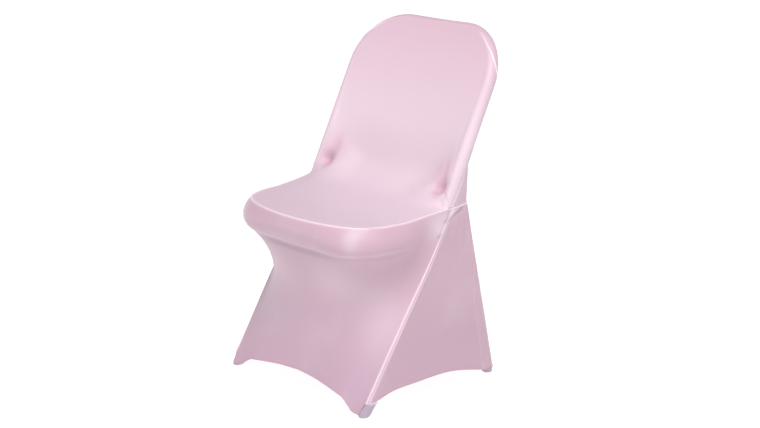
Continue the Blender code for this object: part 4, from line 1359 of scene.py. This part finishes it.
def fabric(name, base, pale, deep, knit):
    """Matte stretch knit with a soft sheen: fine wales, paler where stretched and where highlights
    are painted, pinker at hems and where shade is painted in folds, with painted shade and painted
    seam highlights mixed in.
    """
    material = bpy.data.materials.new(name)
    material.use_nodes = True
    tree = material.node_tree

    def put(made, values):
        for key, value in dict(values).items():
            if isinstance(value, (float, tuple)):
                made.inputs[key].default_value = value
            else:
                tree.links.new(value, made.inputs[key])

    def node(kind, values=(), **settings):
        made = tree.nodes.new(kind)
        for key, value in settings.items():
            setattr(made, key, value)
        put(made, values)
        return made

    def amount(word):
        return node("ShaderNodeAttribute", attribute_name=word).outputs["Fac"]

    def mixed(first, second, factor):
        return node("ShaderNodeMix", {6: first, 7: second, 0: factor}, data_type="RGBA").outputs[2]

    def maths(operation, *values):
        return node("ShaderNodeMath", enumerate(values), operation=operation).outputs[0]

    def noise(scale, detail, vector):
        values = {"Scale": scale, "Detail": detail, "Vector": vector}
        return node("ShaderNodeTexNoise", values).outputs["Fac"]

    def wave(direction, scale, distortion, detail):
        values = {"Scale": scale, "Distortion": distortion, "Detail": detail, "Vector": flat}
        made = node("ShaderNodeTexWave", values, wave_type="BANDS", bands_direction=direction)
        return made.outputs["Fac"]

    place = node("ShaderNodeTexCoord").outputs["Object"]
    cloudy = maths("SUBTRACT", noise(CLOUD_SCALE, 3.0, place), 0.5)
    fine = maths("SUBTRACT", noise(FINE_SCALE, 2.0, place), 0.5)
    soft = maths("ADD", maths("MULTIPLY", cloudy, CLOUD_SHARE), maths("MULTIPLY", fine, FINE_SHARE))
    # Pinker at hems and where shade is painted in hollows and folds, and with the dye's unevenness
    colour = mixed(base, deep, maths("MAXIMUM", amount("pink"), maths("MAXIMUM", soft, 0.0)))
    thin = maths("MULTIPLY", maths("MAXIMUM", maths("MULTIPLY", soft, -1.0), 0.0), PALE_SHARE)
    # Paler where stretched and where highlights are painted; then painted shade, and the painted
    # highlight along seams
    colour = mixed(colour, pale, maths("MAXIMUM", amount("pale"), thin))
    colour = mixed(colour, PAINTED_SHADE, amount("lilac"))
    colour = mixed(colour, PAINTED_SEAM_HIGHLIGHT, amount("glow"))
    beat = maths("SINE", maths("MULTIPLY", amount("run"), STITCH_RATE))
    stitch = maths("MULTIPLY", maths("COMPARE", amount("off"), STITCH_OFF, STITCH_HALF),
                   maths("GREATER_THAN", beat, STITCH_FROM))
    colour = mixed(colour, deep, maths("MULTIPLY", stitch, STITCH_TONE))

    flat = node("ShaderNodeUVMap", uv_map="cloth").outputs["UV"]
    loops = maths("MULTIPLY", wave("X", WALES, 1.2, 1.0), wave("Y", COURSES, 2.0, 2.0))
    streak = node("ShaderNodeMapping", {"Scale": STREAKS, "Vector": flat}).outputs["Vector"]
    drawn = noise(1.0, 2.0, streak)
    height = maths("ADD", maths("MULTIPLY", loops, LOOP_RISE), maths("MULTIPLY", drawn, STREAK_RISE))
    height = maths("ADD", height, maths("MULTIPLY", stitch, STITCH_RISE))
    bump = node("ShaderNodeBump", {"Strength": knit, "Distance": KNIT_DEPTH, "Height": height})
    rough = node("ShaderNodeMapRange", {"To Min": ROUGH[0], "To Max": ROUGH[1], "Value": drawn})
    put(tree.nodes["Principled BSDF"],
        {"Base Color": colour, "Normal": bump.outputs["Normal"],
         "Roughness": rough.outputs["Result"], "Specular IOR Level": SPECULAR,
         "Sheen Weight": SHEEN_WEIGHT, "Sheen Roughness": SHEEN_ROUGHNESS, "Sheen Tint": SHEEN})
    return material


# The photograph's view, fitted to the outline of the cover, and its white room
EYE = (2.40976, -2.4723, 0.5068)
AIM = (0.0509, -0.2388, -0.3986)
LENS = 72.65
SENSOR_WIDTH = 36.0
KEY_AT = (1.0, -1.5, 2.25)
KEY_AIM = (0.0, -0.2, -0.35)
KEY_SIZE = 1.5
KEY_POWER = 87.0
FLOOR_HALF = 30.0
FLOOR_GREY = (0.30, 0.30, 0.30, 1.0)
FLOOR_GLOW = 0.92
FLOOR_ROUGHNESS = 0.9
SKY_FROM = (-0.8, 0.26)
SKY_TO = (0.6, 0.56)


def aimed(name, data, at, aim):
    """An object whose -Z axis looks from one place at another."""
    made = linked(name, data)
    made.location = at
    made.rotation_euler = (Vector(at) - Vector(aim)).to_track_quat("Z", "Y").to_euler()
    return made


def add_floor():
    mesh = bpy.data.meshes.new("floor")
    corners = ((-1, -1), (1, -1), (1, 1), (-1, 1))
    mesh.from_pydata([(x * FLOOR_HALF, y * FLOOR_HALF, -ORIGIN[2]) for x, y in corners],
                     [], [(0, 1, 2, 3)])
    material = bpy.data.materials.new("floor")
    material.use_nodes = True
    shader = material.node_tree.nodes["Principled BSDF"]
    shader.inputs["Base Color"].default_value = FLOOR_GREY
    shader.inputs["Roughness"].default_value = FLOOR_ROUGHNESS
    shader.inputs["Emission Color"].default_value = WHITE
    shader.inputs["Emission Strength"].default_value = FLOOR_GLOW
    mesh.materials.append(material)
    linked("floor", mesh)


def add_world():
    """A white room that is dimmer towards the left of the cover."""
    scene = bpy.context.scene
    scene.world = bpy.data.worlds.new("white")
    scene.world.use_nodes = True
    tree = scene.world.node_tree
    place = tree.nodes.new("ShaderNodeTexCoord")
    parts = tree.nodes.new("ShaderNodeSeparateXYZ")
    side = tree.nodes.new("ShaderNodeMapRange")
    sky = tree.nodes["Background"]
    for end, (x, strength) in (("Min", SKY_FROM), ("Max", SKY_TO)):
        side.inputs["From " + end].default_value = x
        side.inputs["To " + end].default_value = strength
    tree.links.new(place.outputs["Generated"], parts.inputs["Vector"])
    tree.links.new(parts.outputs["X"], side.inputs["Value"])
    tree.links.new(side.outputs["Result"], sky.inputs["Strength"])
    sky.inputs["Color"].default_value = WHITE
    scene.view_settings.view_transform = "Standard"
    scene.view_settings.look = "None"


def add_camera_and_light():
    camera = aimed("camera", bpy.data.cameras.new("camera"), EYE, AIM)
    camera.data.lens = LENS
    camera.data.sensor_width = SENSOR_WIDTH
    bpy.context.scene.camera = camera
    light = bpy.data.lights.new("key", "AREA")
    light.shape = "DISK"
    light.size = KEY_SIZE
    light.energy = KEY_POWER
    aimed("key", light, KEY_AT, KEY_AIM)


def declare(piece, node, slot, tones, knit):
    """Tell the frame what a piece is: its cloth, its body and the solid that it covers."""
    piece.data.materials.append(fabric(slot, *tones, knit))
    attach(piece, "root")
    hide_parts(node)


def declare_sheet(piece, node, slot):
    """Declare a sheet as any piece with the sheet's cloth; its layout is read, and nothing more is
    done with it.
    """
    declare(piece, node, slot, (BASE, PALE, DEEP), SHEET_KNIT)
    uv = np.zeros(len(piece.data.loops) * 2)
    piece.data.uv_layers["cloth"].data.foreach_get("uv", uv)


# Sheets: name, node, slot, net, whether its net's outside is turned, and detail
SHEETS = (
    ("seat_sheet", "seat_and_inside_back", "seat_cloth", seat_and_back, True, seat_detail),
    ("back_sheet", "outside_back", "back_cloth", outside_back, False, back_detail),
    ("skirt_sheet", "front_skirt", "skirt_cloth", front_skirt, True, skirt_detail),
    ("gore_sheet_right", "side_gore_right", "right_gore_cloth", side_gore, True, gore_detail),
)
# Pockets: end, where its leg meets the floor, the leg's slope, the rim and the colour
POCKETS = (
    ("front", leg_y(0.0), BEND_Y / BEND_Z, FRONT_POCKET_RIM, POCKET),
    ("rear", REAR_FOOT_Y, REAR_SLOPE, REAR_POCKET_RIM, REAR_POCKET),
)
seam = seams()
for name, node, slot, net_of, flip, detail in SHEETS:
    piece, area = make_sheet(name, net_of(seam, frame_lines()), flip, detail, seam)
    declare_sheet(piece, node, slot)
# The last sheet is the right gore, and the left one mirrors it
declare_sheet(mirror_piece(piece, "gore_sheet_left"), "side_gore_left", "left_gore_cloth")
for word, side in (("right", 1), ("left", -1)):
    for end, foot_y, slope, rim, tone in POCKETS:
        piece = make_pocket("pocket_" + end + "_" + word, foot_y, slope, rim, side)
        declare(piece, "foot_pocket_" + end + "_" + word, end + "_pocket_" + word,
                (tone, POCKET_PALE, POCKET_DEEP), POCKET_KNIT)
add_floor()
add_world()
add_camera_and_light()
